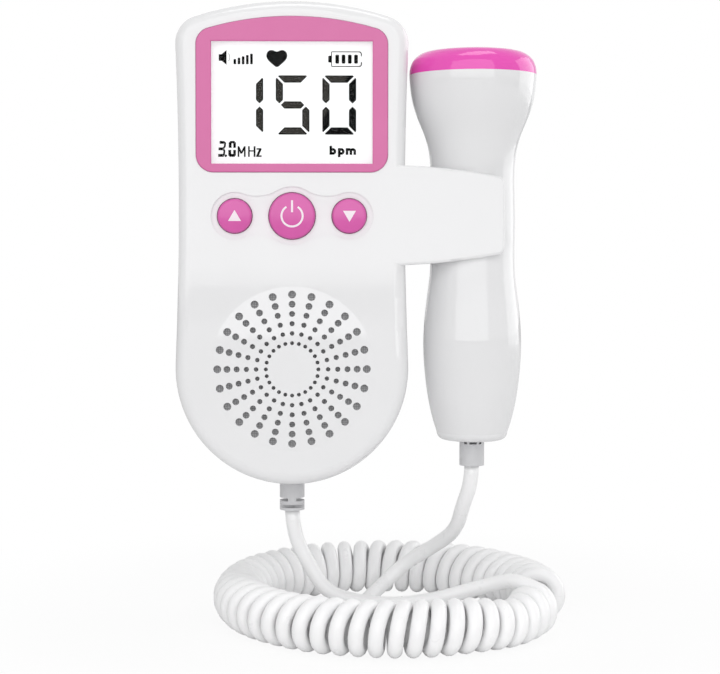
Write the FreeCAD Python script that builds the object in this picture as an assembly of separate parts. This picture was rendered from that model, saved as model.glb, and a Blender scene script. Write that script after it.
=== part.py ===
import FreeCAD, Part
import math
import os
from FreeCAD import Vector

os.makedirs("parts", exist_ok=True)

# Fetal doppler monitor: a hand unit with its probe in a side clip, and a curly cord between them.
# Millimetres. The origin is on the flat back of the case at half its height: +Z up, -Y to the front, +X to the clip.

# --- case ---
case_height = 135.0
case_width = 65.2            # across the round foot, its widest place
case_depth = 29.0
waist_pinch = 1.0            # how far each side draws in at the waist
waist_height = 79.5          # from the foot to the waist
crown_radius = 88.0          # arch of the top edge
crown_corner_radius = 7.8
front_edge_radius = 3.5
rear_edge_radius = 3.8
wall = 1.8
tongue_height = 1.2
tongue_clearance = 0.1
seam_groove = 0.35

# --- clip for the probe, moulded with the case ---
clip_centre_height = 75.4    # above the foot
clip_reach = 59.3            # from the middle of the case to the tips
clip_root_half_height = 14.0
clip_middle_half_height = 12.8
clip_tip_half_height = 10.6
clip_tip_corner_radius = 1.9
clip_tip_set_back = 0.8      # how far the jaws thin towards their tips
clip_edge_radius = 0.8
clip_taper_start = 11.0      # from the tips to where the jaws begin to thin
clip_web = 2.1
clip_clearance = 0.35

# --- screen ---
bezel_width = 53.2
bezel_bottom_height = 87.3   # above the foot
bezel_top_margin = 4.6       # below the crown
bezel_top_corner_radius = 4.5
bezel_bottom_corner_radius = 4.8
bezel_thickness = 1.0
bezel_stand_proud = 0.4
bezel_edge_radius = 0.35
bezel_clearance = 0.1
window_width = 44.7
window_height = 33.8
window_bottom_height = 89.7  # above the foot
lens_overlap = 0.8           # of the clear lens behind the bezel, each side
lens_thickness = 0.6
ledge_overlap = 0.25         # of the case wall's opening behind the window
lcd_overlap = 0.9            # of the display glass behind the wall, each side
lcd_glass_thickness = 1.8
lcd_contact_strip = 2.7      # glass below the backlight, for its contacts
connector_width = 38.0
connector_thickness = 1.6

# --- buttons ---
button_height = 75.2         # above the foot
button_spacing = 15.9
side_button_radius = 4.75
power_button_radius = 6.4
button_clearance = 0.25
button_dome = 0.5
button_rise = 0.9            # of the button's rim above the case
button_edge_radius = 0.7
button_flange = 0.9
button_flange_thickness = 0.6
button_flange_gap = 0.15
button_travel = 0.6
button_recess_depth = 0.6
button_recess_side_margin = 1.9
button_recess_power_margin = 1.8
button_recess_blend = 11.0

# --- grille and speaker ---
grille_spokes = 24
grille_rings = 6
grille_outer_radius = 20.8
grille_ring_step = 2.70
grille_inner_hole_radius = 0.545
grille_hole_growth = 1.149   # each ring's holes against those of the ring inside it
grille_dome_radius = 23.0
grille_dome_rise = 0.6
speaker_radius = 23.4
speaker_depth = 7.4
speaker_rim_thickness = 1.0
speaker_rim_width = 2.9
speaker_throat_radius = 12.0
speaker_basket_wall = 0.8
magnet_radius = 10.0
magnet_thickness = 2.4
gasket_thickness = 0.5
gasket_width = 1.2
cloth_thickness = 0.2
cone_thickness = 0.4
cone_depth = 1.8
dust_cap_radius = 6.0
dust_cap_rise = 0.8
speaker_rib_wall = 1.2
speaker_rib_height = 3.0
speaker_clearance = 0.2

# --- main board ---
board_half_width = 23.4
board_thickness = 1.6
board_bottom_height = 58.6   # above the foot
board_top_margin = 4.9       # below the crown
board_corner_cut = 7.0
board_depth = 7.6            # front face of the board behind the front of the case
board_post_radius = 2.2
board_post_x = 20.4
board_post_height = 63.2     # lower pair, above the foot
board_top_post_x = 15.0
board_top_post_margin = 6.7  # upper pair, below the crown
board_screw_radius = 0.8
board_screw_head_radius = 1.7
board_screw_head_height = 1.2
board_screw_length = 5.0
switch_size = 6.0
switch_housing_height = 3.5
switch_stem_radius = 1.5
switch_stem_clearance = 0.3
switch_floor = 0.8
# processor, audio amplifier and memory: (x, height above the foot, width, height, thickness)
chip_sizes = [(6.0, 88.0, 10.0, 10.0, 1.4), (-8.0, 84.0, 6.4, 5.0, 1.5), (9.0, 72.0, 5.2, 6.4, 1.5)]
# electrolytic capacitors: (x, height above the foot, radius, height of the can)
capacitor_sizes = [(-14.0, 92.0, 2.5, 7.0), (-13.0, 76.0, 3.1, 8.0)]

# --- case screws ---
upper_screw_x = 26.2
upper_screw_height = 116.5   # above the foot
lower_screw_x = 23.2
lower_screw_height = 45.5
boss_radius = 3.1            # in the back half, round the screw's head
post_radius = 2.4            # in the front half, round its thread
screw_head_radius = 1.9
screw_head_height = 1.5
screw_radius = 1.1
screw_length = 10.0
screw_hole_clearance = 0.3
screw_thread_clearance = 0.05
screw_recess = 9.0           # head seat below the back face
screw_socket_radius = 0.7
screw_socket_depth = 0.8

# --- batteries ---
cell_radius = 7.25
cell_length = 50.5
cell_nub_radius = 2.75
cell_nub_height = 1.0
cell_gap = 0.4
battery_box_wall = 1.0
battery_spring_length = 4.0
battery_spring_wire = 0.6
battery_spring_radius = 3.2
battery_spring_turns = 3
battery_spring_bends = 8     # straight runs and bends that make up each turn
contact_plate_size = 9.0
contact_plate_thickness = 0.4
battery_box_bottom_height = 9.2   # inside of the box above the foot

# --- battery cover ---
cover_margin = 5.0           # of the cover's lower edge inside the foot
cover_half_width = 17.0
cover_top_inset = 2.2        # of the cover's upper edge below the top of the battery box
cover_corner_radius = 1.6
cover_clearance = 0.25
cover_tab_x = 4.0
cover_tab_width = 4.0
cover_tab_thickness = 1.2
cover_tab_reach = 1.1
cover_tab_lip_gap = 0.2
cover_tab_pad = 2.6
cover_ridges = 5
cover_ridge_width = 9.0
cover_ridge_pitch = 1.8
cover_ridge_thickness = 0.8
cover_ridge_depth = 0.5
cover_ridge_margin = 5.0

# --- label recess and earphone jack ---
label_half_width = 19.0
label_bottom_height = 80.0   # above the foot
label_top_height = 112.0
label_depth = 0.3
label_corner_radius = 2.0
jack_height = 105.0          # above the foot
jack_bore_radius = 1.8
jack_bore_length = 14.0
jack_body_width = 6.4
jack_body_height = 6.0
jack_back_wall = 1.0
jack_nose_radius = 2.9
jack_nose_clearance = 0.15

# --- cord and its glands ---
cord_diameter = 4.2
bend_share = 0.45            # of the shorter run that each bend of a wire or cord takes up
gland_radius = 3.55
gland_length = 8.8
gland_neck_radius = 2.7
gland_flange_radius = 4.2
gland_flange_thickness = 1.2
gland_flange_gap = 0.35      # under the flange, over the case's inner face
gland_clearance = 0.1
gland_slot = 0.9
gland_side_slot_depth = 5.7  # middle of the slots below the case: from the sides
gland_cross_slot_depth = 7.6 # and from the front and back
gland_web_half = 1.2
probe_gland_length = 7.5
probe_gland_slot = 0.6
# short slots in the front and back of the probe's gland: (place across it, width)
probe_gland_slots = [(-2.1, 0.7), (0.0, 2.1), (2.1, 0.7)]

# --- probe ---
probe_axis_x = 51.75
probe_neck_radius = 12.2
probe_wall = 1.8
probe_floor = 2.0
probe_head_radius = 18.15
probe_belly_radius = 14.0
probe_foot_radius = 10.15
probe_foot_corner = 2.2
probe_foot_z = -56.2
probe_seam_z = 48.1
probe_cap_rise = 7.5
probe_neck_low_z = -8.2
probe_neck_high_z = 23.5
# the handle's outline: (share of the way from foot to belly radius, share of the height from foot to neck),
probe_foot_shape = [(0.30, 0.08), (0.88, 0.36), (1.0, 0.58)]
# (share of the way from neck to belly radius, share of the same height),
probe_waist_shape = [(0.45, 0.84)]
# and (share of the way from neck to head radius, share of the height from neck to seam)
probe_head_shape = [(0.26, 0.30), (0.55, 0.47), (0.82, 0.66), (0.95, 0.84)]
# the face's shoulder: (distance inside the head radius, share of the rise)
cap_shape = [(0.14, 0.26), (0.85, 0.52), (2.55, 0.75), (5.2, 0.88)]
cap_wall = 1.6
cap_skirt = 3.0
cap_skirt_gap = 0.8          # between the skirt and the handle's wall, which draws in below the seam
cap_window = 2.8
crystal_radius = 10.5
crystal_thickness = 1.0
crystal_gap = 0.6
holder_height = 4.4
holder_wall = 2.0
holder_floor = 1.2
holder_clearance = 0.1
probe_board_half_width = 7.5
probe_board_thickness = 1.2
probe_board_low_z = -27.0
probe_board_high_z = 27.0
probe_rib_z = 20.0
probe_rib_thickness = 1.2
probe_rib_half_width = 6.0
probe_screw_z = 32.5
probe_boss_radius = 2.6
probe_screw_length = 7.0
probe_screw_recess = 6.5     # head seat behind the plane where the halves meet

# --- curly cord, laid in a ring below the unit ---
coil_tube_radius = 7.8
coil_ring_radius = 43.35
coil_centre_x = 28.1
coil_centre_y = -11.9
coil_centre_z = -101.5
coil_end_angle = -5.0        # where the ring begins, seen from above
coil_gap_angle = 4.0         # left open between its two ends
monitor_lead_drop = 8.0      # straight down out of each gland
probe_lead_drop = 6.0
monitor_route = [
    Vector(5.0, -14.9, -93.2),
    Vector(10.6, -15.3, -99.8),
    Vector(19.4, -15.8, -103.4),
    Vector(30.5, -16.0, -104.3),
    Vector(42.0, -15.6, -102.2),
    Vector(53.0, -15.5, -98.5),
    Vector(62.3, -15.8, -96.6),
    Vector(69.9, -16.3, -96.2),
]
probe_route = [
    Vector(49.4, -11.8, -78.3),
    Vector(46.0, -6.0, -86.3),
    Vector(41.2, 1.8, -91.4),
    Vector(35.2, 7.8, -95.6),
    Vector(27.6, 10.4, -99.8),
    Vector(19.6, 8.8, -103.0),
    Vector(13.4, 3.2, -105.4),
    Vector(11.0, -5.2, -106.8),
    Vector(13.0, -14.2, -107.0),
    Vector(19.4, -21.0, -107.0),
    Vector(28.8, -24.4, -107.0),
    Vector(39.6, -24.6, -107.0),
    Vector(50.2, -21.8, -107.0),
    Vector(60.4, -17.0, -107.0),
    Vector(69.9, -11.9, -106.9),
]

# --- places worked out from the sizes above ---
along_x = Vector(1, 0, 0)
along_y = Vector(0, 1, 0)
along_z = Vector(0, 0, 1)
full_turn = 360.0
overcut = 1.0                # how far a cutting tool runs past the face that it cuts
tiny = 1e-6

foot_z = -case_height / 2
crown_z = case_height / 2
front_y = -case_depth
front_inner_y = front_y + wall
back_inner_y = -wall
seam_y = -case_depth / 2
foot_radius = case_width / 2
waist_half = foot_radius - waist_pinch
foot_centre = Vector(0, 0, foot_z + foot_radius)
waist_z = foot_z + waist_height
waist_rise = waist_z - foot_centre.z
side_radius = (waist_rise**2 + waist_half**2 - foot_radius**2) / (2 * waist_pinch)
side_centre = Vector(waist_half + side_radius, 0, waist_z)
crown_centre = Vector(0, 0, crown_z - crown_radius)

clip_bore_radius = probe_neck_radius + clip_clearance
clip_z = foot_z + clip_centre_height
clip_root_x = waist_half - 3 * wall
probe_y = seam_y

bezel_front_y = front_y - bezel_stand_proud
bezel_back_y = bezel_front_y + bezel_thickness
window_z = foot_z + window_bottom_height
lens_back_y = bezel_back_y + lens_thickness
lcd_back_y = front_inner_y + lcd_glass_thickness
board_front_y = front_y + board_depth
board_back_y = board_front_y + board_thickness
opening_half = window_width / 2 + ledge_overlap
lcd_half = opening_half + lcd_overlap
lcd_top_z = window_z + window_height + ledge_overlap + lcd_overlap
lcd_bottom_z = window_z - ledge_overlap - lcd_contact_strip

button_z = foot_z + button_height
recess_y = front_y + button_recess_depth
switch_top_y = board_front_y - switch_housing_height
flange_front_y = front_inner_y + button_flange_gap
flange_back_y = flange_front_y + button_flange_thickness
stem_room = button_travel + switch_stem_clearance

grille_z = foot_centre.z
speaker_front_y = front_inner_y + cloth_thickness + gasket_thickness
magnet_back_y = speaker_front_y + speaker_depth

cell_y = back_inner_y - cell_gap - cell_radius
cell_x = cell_radius + cell_gap / 2
box_front_y = cell_y - cell_radius - cell_gap
box_half = cell_x + cell_radius + cell_gap
box_bottom_z = foot_z + battery_box_bottom_height
box_length = cell_length + battery_spring_length + 2 * contact_plate_thickness
box_top_z = box_bottom_z + box_length

cover_radius = foot_radius - cover_margin
cover_hinge_z = foot_centre.z - cover_radius
cover_top_z = box_top_z - cover_top_inset
cover_tab_front_y = back_inner_y - cover_tab_lip_gap - cover_tab_thickness
cover_tab_sweep = math.hypot(cover_tab_front_y, cover_tab_pad)

jack_z = foot_z + jack_height
jack_y = board_back_y + jack_body_height / 2
gland_end_z = foot_z - gland_length
probe_gland_end_z = probe_foot_z - probe_gland_length
screw_seat_y = -screw_recess
cap_skirt_radius = probe_head_radius - probe_wall - cap_skirt_gap
cap_bore_radius = cap_skirt_radius - cap_wall
upper_screw_z = foot_z + upper_screw_height
lower_screw_z = foot_z + lower_screw_height
case_screw_places = [
    (side * x, z)
    for side in (-1, 1)
    for x, z in ((upper_screw_x, upper_screw_z), (lower_screw_x, lower_screw_z))
]
board_post_z = foot_z + board_post_height
board_top_post_z = crown_z - board_top_post_margin
board_post_places = [
    (side * x, z)
    for side in (-1, 1)
    for x, z in ((board_post_x, board_post_z), (board_top_post_x, board_top_post_z))
]
button_places = {
    "up_button": (-button_spacing, side_button_radius),
    "power_button": (0.0, power_button_radius),
    "down_button": (button_spacing, side_button_radius),
}


def save(name, shape):
    solids = shape.Solids
    print(f"{name}: {len(solids)} solid(s), {shape.Volume:.1f} mm3, valid {shape.isValid()}")
    shape.exportStep(f"parts/{name}.step")


def block(x_low, x_high, y_low, y_high, z_low, z_high):
    return Part.makeBox(x_high - x_low, y_high - y_low, z_high - z_low, Vector(x_low, y_low, z_low))


def rod_y(x, z, radius, y_low, y_high):
    return Part.makeCylinder(radius, y_high - y_low, Vector(x, y_low, z), along_y)


def rod_z(x, y, radius, z_low, z_high):
    return Part.makeCylinder(radius, z_high - z_low, Vector(x, y, z_low), along_z)


def arc(start, middle, end):
    return Part.Arc(start, middle, end).toShape()


def line(start, end):
    return Part.LineSegment(start, end).toShape()


def prism_y(edges, y_low, y_high):
    face = Part.Face(Part.Wire(edges))
    solid = face.extrude(Vector(0, y_high - y_low, 0))
    solid.translate(Vector(0, y_low, 0))
    return solid


def edges_along(shape, direction):
    found = []
    for edge in shape.Edges:
        if isinstance(edge.Curve, Part.Line):
            if abs(abs(edge.Curve.Direction.dot(direction)) - 1) < tiny:
                found.append(edge)
    return found


def edges_in_plane_y(shape, y):
    return [e for e in shape.Edges if abs(e.BoundBox.YMin - y) < tiny * 100 and abs(e.BoundBox.YMax - y) < tiny * 100]


def rounded_plate(x_low, x_high, y_low, y_high, z_low, z_high, radius):
    plate = block(x_low, x_high, y_low, y_high, z_low, z_high)
    return plate.makeFillet(radius, edges_along(plate, along_y))


def point_between(centre, radius, towards):
    way = towards.sub(centre).normalize()
    return centre.add(way.multiply(radius))


def circles_meet(centre_a, radius_a, centre_b, radius_b, higher):
    # where two circles in the XZ plane cross, the higher or the lower of the two places
    between = centre_b.sub(centre_a)
    distance = between.Length
    along = (radius_a**2 - radius_b**2 + distance**2) / (2 * distance)
    across = math.sqrt(radius_a**2 - along**2)
    unit = between.normalize()
    normal = Vector(-unit.z, 0, unit.x)
    foot = centre_a.add(Vector(unit).multiply(along))
    places = [foot.add(Vector(normal).multiply(across)), foot.sub(Vector(normal).multiply(across))]
    places.sort(key=lambda place: place.z)
    return places[1] if higher else places[0]


def mirrored(point):
    return Vector(-point.x, point.y, point.z)


def case_outline(inset):
    # closed outline of the case in the XZ plane, inset by one distance all round
    corner_centre = circles_meet(
        crown_centre, crown_radius - crown_corner_radius, side_centre, side_radius + crown_corner_radius, True
    )
    corner_radius = crown_corner_radius - inset
    foot_side = point_between(foot_centre, foot_radius - inset, side_centre)
    side_corner = point_between(corner_centre, corner_radius, side_centre)
    waist = Vector(waist_half - inset, 0, waist_z)
    away = Vector(crown_centre).add(corner_centre.sub(crown_centre).multiply(2))
    corner_crown = point_between(corner_centre, corner_radius, away)
    corner_middle = point_between(
        corner_centre, corner_radius, corner_crown.add(side_corner).multiply(0.5)
    )
    crown = Vector(0, 0, crown_z - inset)
    foot = Vector(0, 0, foot_z + inset)
    return [
        arc(foot_side, foot, mirrored(foot_side)),
        arc(mirrored(foot_side), mirrored(waist), mirrored(side_corner)),
        arc(mirrored(side_corner), mirrored(corner_middle), mirrored(corner_crown)),
        arc(mirrored(corner_crown), crown, corner_crown),
        arc(corner_crown, corner_middle, side_corner),
        arc(side_corner, waist, foot_side),
    ]


def case_block(inset, y_low, y_high, front_radius, rear_radius):
    solid = prism_y(case_outline(inset), y_low, y_high)
    solid = solid.makeFillet(front_radius, edges_in_plane_y(solid, y_low))
    return solid.makeFillet(rear_radius, edges_in_plane_y(solid, y_high))


def clip_arm():
    # the arm that both jaws are cut from, tapering in height and depth towards its tips
    root_x = clip_root_x
    top = [Vector(x, 0, clip_z + half) for x, half in clip_edge_places()]
    bottom = [Vector(x, 0, clip_z - half) for x, half in clip_edge_places()]
    outline = [
        arc(top[0], top[1], top[2]),
        line(top[2], bottom[2]),
        arc(bottom[2], bottom[1], bottom[0]),
        line(bottom[0], top[0]),
    ]
    side = prism_y(outline, front_y, 0)
    corners = [e for e in edges_along(side, along_y) if e.BoundBox.XMin > clip_reach - overcut]
    side = side.makeFillet(clip_tip_corner_radius, corners)
    taper_x = clip_reach - clip_taper_start
    half_depth = case_depth / 2
    tip_half = half_depth - clip_tip_set_back
    mid_x = (taper_x + clip_reach) / 2
    mid_half = half_depth - clip_tip_set_back / 4
    centre = Vector(0, seam_y, 0)
    plan_edges = [
        line(centre + Vector(root_x, -half_depth, 0), centre + Vector(taper_x, -half_depth, 0)),
        arc(
            centre + Vector(taper_x, -half_depth, 0),
            centre + Vector(mid_x, -mid_half, 0),
            centre + Vector(clip_reach, -tip_half, 0),
        ),
        line(centre + Vector(clip_reach, -tip_half, 0), centre + Vector(clip_reach, tip_half, 0)),
        arc(
            centre + Vector(clip_reach, tip_half, 0),
            centre + Vector(mid_x, mid_half, 0),
            centre + Vector(taper_x, half_depth, 0),
        ),
        line(centre + Vector(taper_x, half_depth, 0), centre + Vector(root_x, half_depth, 0)),
        line(centre + Vector(root_x, half_depth, 0), centre + Vector(root_x, -half_depth, 0)),
    ]
    plan = Part.Face(Part.Wire(plan_edges)).extrude(Vector(0, 0, 4 * clip_root_half_height))
    plan.translate(Vector(0, 0, clip_z - 2 * clip_root_half_height))
    return side.common(plan)


def clip_edge_places():
    # the arm's upper edge as (x, half height): at its root, halfway and at its tip
    halfway_x = (waist_half + clip_reach) / 2
    return [
        (clip_root_x, clip_root_half_height),
        (halfway_x, clip_middle_half_height),
        (clip_reach, clip_tip_half_height),
    ]


def round_arm(arm):
    # the thin rounded rim round the front and back of the arm
    rim = []
    for edge in arm.Edges:
        box = edge.BoundBox
        on_skin = box.YMax < front_y + 2 * clip_tip_set_back or box.YMin > -2 * clip_tip_set_back
        if on_skin and box.XMax > clip_root_x + tiny and box.ZLength + box.XLength > tiny:
            across_taper = box.XLength < tiny * 100 and abs(box.XMin - clip_reach) > tiny * 100
            if not across_taper:
                rim.append(edge)
    return arm.makeFillet(clip_edge_radius, rim)


def clip_hollow():
    # where the probe's neck lies, with a mouth as wide as the neck
    low = clip_z - 2 * clip_root_half_height
    high = clip_z + 2 * clip_root_half_height
    bore = rod_z(probe_axis_x, probe_y, clip_bore_radius, low, high)
    mouth = block(
        probe_axis_x, clip_reach + overcut, probe_y - clip_bore_radius, probe_y + clip_bore_radius, low, high
    )
    return bore.fuse(mouth)


def throat_hollow():
    # the space inside the web between the case and the clip, open to the case
    low = clip_z - clip_root_half_height + 2 * wall
    high = clip_z + clip_root_half_height - 2 * wall
    x_high = probe_axis_x - clip_bore_radius - clip_web
    return block(waist_half - 3 * wall, x_high, front_inner_y, back_inner_y, low, high)


def case_body():
    outside = case_block(0, front_y, 0, front_edge_radius, rear_edge_radius)
    inside = case_block(wall, front_inner_y, back_inner_y, front_edge_radius - wall, rear_edge_radius - wall)
    arm = round_arm(clip_arm())
    body = outside.fuse(arm).removeSplitter()
    groove = prism_y(case_outline(-overcut), seam_y - seam_groove / 2, seam_y + seam_groove / 2)
    groove = groove.cut(prism_y(case_outline(seam_groove), seam_y - seam_groove, seam_y + seam_groove))
    groove = groove.cut(arm)
    return body.cut(inside).cut(throat_hollow()).cut(clip_hollow()).cut(groove)


def seam_ring(y_high, clearance):
    # the tongue on the front half's rim, or with a clearance, the groove that takes it
    outer = prism_y(case_outline(wall / 2 - clearance), seam_y, y_high)
    return outer.cut(prism_y(case_outline(wall), seam_y - overcut, y_high + overcut))


def bezel_block(y_low, y_high, clearance):
    half = bezel_width / 2 + clearance
    bottom = foot_z + bezel_bottom_height - clearance
    radius = crown_radius - bezel_top_margin + clearance
    side_top = crown_centre.z + math.sqrt(radius**2 - half**2)
    top = crown_centre.z + radius
    edges = [
        line(Vector(-half, 0, bottom), Vector(half, 0, bottom)),
        line(Vector(half, 0, bottom), Vector(half, 0, side_top)),
        arc(Vector(half, 0, side_top), Vector(0, 0, top), Vector(-half, 0, side_top)),
        line(Vector(-half, 0, side_top), Vector(-half, 0, bottom)),
    ]
    plate = prism_y(edges, y_low, y_high)
    lower = [e for e in edges_along(plate, along_y) if abs(e.BoundBox.ZMin - bottom) < tiny * 100]
    plate = plate.makeFillet(bezel_bottom_corner_radius + clearance, lower)
    upper = [e for e in edges_along(plate, along_y) if abs(e.BoundBox.ZMin - side_top) < tiny * 100]
    return plate.makeFillet(bezel_top_corner_radius + clearance, upper)


def window_block(margin, y_low, y_high):
    half = window_width / 2 + margin
    return block(-half, half, y_low, y_high, window_z - margin, window_z + window_height + margin)


def screen_bezel():
    plate = bezel_block(bezel_front_y, bezel_back_y, 0)
    plate = plate.cut(window_block(0, bezel_front_y - overcut, bezel_back_y + overcut))
    return plate.makeFillet(bezel_edge_radius, edges_in_plane_y(plate, bezel_front_y))


def button_recess():
    # three lobes round the buttons, joined by hollow curves
    side_radius_here = side_button_radius + button_recess_side_margin
    power_radius_here = power_button_radius + button_recess_power_margin
    middle = Vector(0, 0, button_z)
    side = Vector(button_spacing, 0, button_z)
    blend = circles_meet(
        middle, power_radius_here + button_recess_blend, side, side_radius_here + button_recess_blend, True
    )
    on_power = point_between(middle, power_radius_here, blend)
    on_side = point_between(side, side_radius_here, blend)
    waist = Vector(blend.x, 0, blend.z - button_recess_blend)

    def flip(point):
        return Vector(point.x, 0, 2 * button_z - point.z)

    right = Vector(button_spacing + side_radius_here, 0, button_z)
    top = Vector(0, 0, button_z + power_radius_here)
    edges = [
        arc(mirrored(on_power), top, on_power),
        arc(on_power, point_between(blend, button_recess_blend, waist), on_side),
        arc(on_side, right, flip(on_side)),
        arc(flip(on_side), flip(waist), flip(on_power)),
        arc(flip(on_power), flip(top), mirrored(flip(on_power))),
        arc(mirrored(flip(on_power)), mirrored(flip(waist)), mirrored(flip(on_side))),
        arc(mirrored(flip(on_side)), mirrored(right), mirrored(on_side)),
        arc(mirrored(on_side), mirrored(waist), mirrored(on_power)),
    ]
    return prism_y(edges, front_y - overcut, recess_y)


def grille_dome():
    # shallow lens-shaped swelling of the front wall round the grille
    sphere_radius = (grille_dome_radius**2 + grille_dome_rise**2) / (2 * grille_dome_rise)
    centre_y = front_y - grille_dome_rise + sphere_radius
    ball = Part.makeSphere(sphere_radius, Vector(0, centre_y, grille_z))
    return ball.common(rod_y(0, grille_z, grille_dome_radius, front_y - 2 * grille_dome_rise, front_inner_y))


def grille_holes():
    holes = []
    for ring in range(grille_rings):
        ring_radius = grille_outer_radius - (grille_rings - 1 - ring) * grille_ring_step
        hole_radius = grille_inner_hole_radius * grille_hole_growth**ring
        for spoke in range(grille_spokes):
            turn = 2 * math.pi * spoke / grille_spokes
            x = ring_radius * math.sin(turn)
            z = grille_z + ring_radius * math.cos(turn)
            holes.append(rod_y(x, z, hole_radius, front_y - overcut, front_inner_y + overcut))
    return Part.makeCompound(holes)


def half_space(front):
    reach = 2 * case_height
    if front:
        return block(-reach, reach, -reach, seam_y, -reach, reach)
    return block(-reach, reach, seam_y, reach, -reach, reach)


def jack_hole():
    wall_x = -foot_radius - overcut
    return Part.makeCylinder(
        jack_nose_radius + jack_nose_clearance, 3 * wall + overcut, Vector(wall_x, jack_y, jack_z), along_x
    )


def gland_hole():
    return rod_z(0, seam_y, gland_neck_radius + gland_clearance, foot_z - overcut, foot_z + 2 * wall)


def front_shell(body):
    shell = body.common(half_space(True))
    inside = case_block(wall, front_inner_y, back_inner_y, front_edge_radius - wall, rear_edge_radius - wall)
    tongue = seam_ring(seam_y + tongue_height, 0)
    posts = []
    for x, z in case_screw_places:
        posts.append(rod_y(x, z, post_radius, front_inner_y, seam_y))
    for x, z in board_post_places:
        posts.append(rod_y(x, z, board_post_radius, front_inner_y, board_front_y))
    rib_inner = speaker_radius + speaker_clearance
    rib = rod_y(0, grille_z, rib_inner + speaker_rib_wall, front_inner_y, front_inner_y + speaker_rib_height)
    rib = rib.cut(rod_y(0, grille_z, rib_inner, front_inner_y, front_inner_y + speaker_rib_height))
    shell = shell.fuse([tongue, grille_dome(), rib] + [post.common(inside) for post in posts])
    cuts = [bezel_block(front_y - overcut, bezel_back_y, bezel_clearance), button_recess(), jack_hole(), gland_hole()]
    cuts.append(window_block(lens_overlap + bezel_clearance, front_y, lens_back_y))
    cuts.append(window_block(ledge_overlap, front_y, front_inner_y + overcut))
    for x, radius in button_places.values():
        cuts.append(rod_y(x, button_z, radius + button_clearance, front_y, front_inner_y + overcut))
    for x, z in case_screw_places:
        cuts.append(rod_y(x, z, screw_radius + screw_thread_clearance, screw_seat_y - screw_length, seam_y + overcut))
    for x, z in board_post_places:
        depth_y = board_back_y - board_screw_length
        cuts.append(rod_y(x, z, board_screw_radius + screw_thread_clearance, depth_y, board_front_y + overcut))
    shell = shell.cut(cuts)
    return shell.cut(grille_holes())


def cover_outline(clearance, top_clearance):
    half = cover_half_width + clearance
    radius = cover_radius + clearance
    side_low = foot_centre.z - math.sqrt(radius**2 - half**2)
    top = cover_top_z + top_clearance
    return [
        line(Vector(-half, 0, top), Vector(half, 0, top)),
        line(Vector(half, 0, top), Vector(half, 0, side_low)),
        arc(Vector(half, 0, side_low), Vector(0, 0, foot_centre.z - radius), Vector(-half, 0, side_low)),
        line(Vector(-half, 0, side_low), Vector(-half, 0, top)),
    ]


def battery_box():
    outside = block(
        -box_half - battery_box_wall,
        box_half + battery_box_wall,
        box_front_y - battery_box_wall,
        back_inner_y - cover_clearance,
        box_bottom_z - battery_box_wall,
        box_top_z + battery_box_wall,
    )
    inside = block(-box_half, box_half, box_front_y, 0, box_bottom_z, box_top_z)
    floor_back_y = -cover_tab_sweep - cover_clearance
    tab_room = block(
        -cover_tab_x - cover_tab_width,
        cover_tab_x + cover_tab_width,
        floor_back_y,
        0,
        box_bottom_z - battery_box_wall,
        box_bottom_z,
    )
    return outside.cut(inside).cut(tab_room)


def rear_shell(body):
    shell = body.common(half_space(False))
    inside = case_block(wall, front_inner_y, back_inner_y, front_edge_radius - wall, rear_edge_radius - wall)
    posts = [rod_y(x, z, boss_radius, seam_y, back_inner_y).common(inside) for x, z in case_screw_places]
    upper_box = block(
        -box_half - battery_box_wall,
        box_half + battery_box_wall,
        back_inner_y - cover_clearance,
        back_inner_y,
        cover_top_z + cover_clearance,
        box_top_z + battery_box_wall,
    )
    shell = shell.fuse(posts + [battery_box(), upper_box])
    cuts = [seam_ring(seam_y + tongue_height + tongue_clearance, tongue_clearance), jack_hole(), gland_hole()]
    opening = prism_y(cover_outline(cover_clearance, cover_clearance), back_inner_y, overcut)
    cuts.append(opening)
    cuts.append(
        rounded_plate(
            -label_half_width,
            label_half_width,
            -label_depth,
            overcut,
            foot_z + label_bottom_height,
            foot_z + label_top_height,
            label_corner_radius,
        )
    )
    for x, z in case_screw_places:
        cuts.append(rod_y(x, z, screw_head_radius + screw_hole_clearance, screw_seat_y, overcut))
        cuts.append(rod_y(x, z, screw_radius + screw_hole_clearance, seam_y - overcut, screw_seat_y))
    return shell.cut(cuts)


def battery_cover():
    plate = prism_y(cover_outline(0, 0), back_inner_y, 0)
    plate = plate.makeFillet(cover_corner_radius, edges_along(plate, along_y))
    tabs = []
    for side in (-1, 1):
        x_low = side * cover_tab_x - cover_tab_width / 2
        x_high = side * cover_tab_x + cover_tab_width / 2
        root_z = cover_hinge_z + cover_tab_reach / 2
        tabs.append(
            block(x_low, x_high, cover_tab_front_y, back_inner_y, root_z, cover_hinge_z + cover_tab_pad)
        )
        tabs.append(
            block(
                x_low,
                x_high,
                cover_tab_front_y,
                back_inner_y - cover_tab_lip_gap,
                cover_hinge_z - cover_tab_reach,
                cover_hinge_z + cover_tab_pad,
            )
        )
    plate = plate.fuse(tabs)
    grooves = []
    for ridge in range(cover_ridges):
        z = cover_top_z - cover_ridge_margin - ridge * cover_ridge_pitch
        grooves.append(
            block(-cover_ridge_width, cover_ridge_width, -cover_ridge_depth, overcut, z - cover_ridge_thickness, z)
        )
    return plate.cut(grooves)


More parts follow.
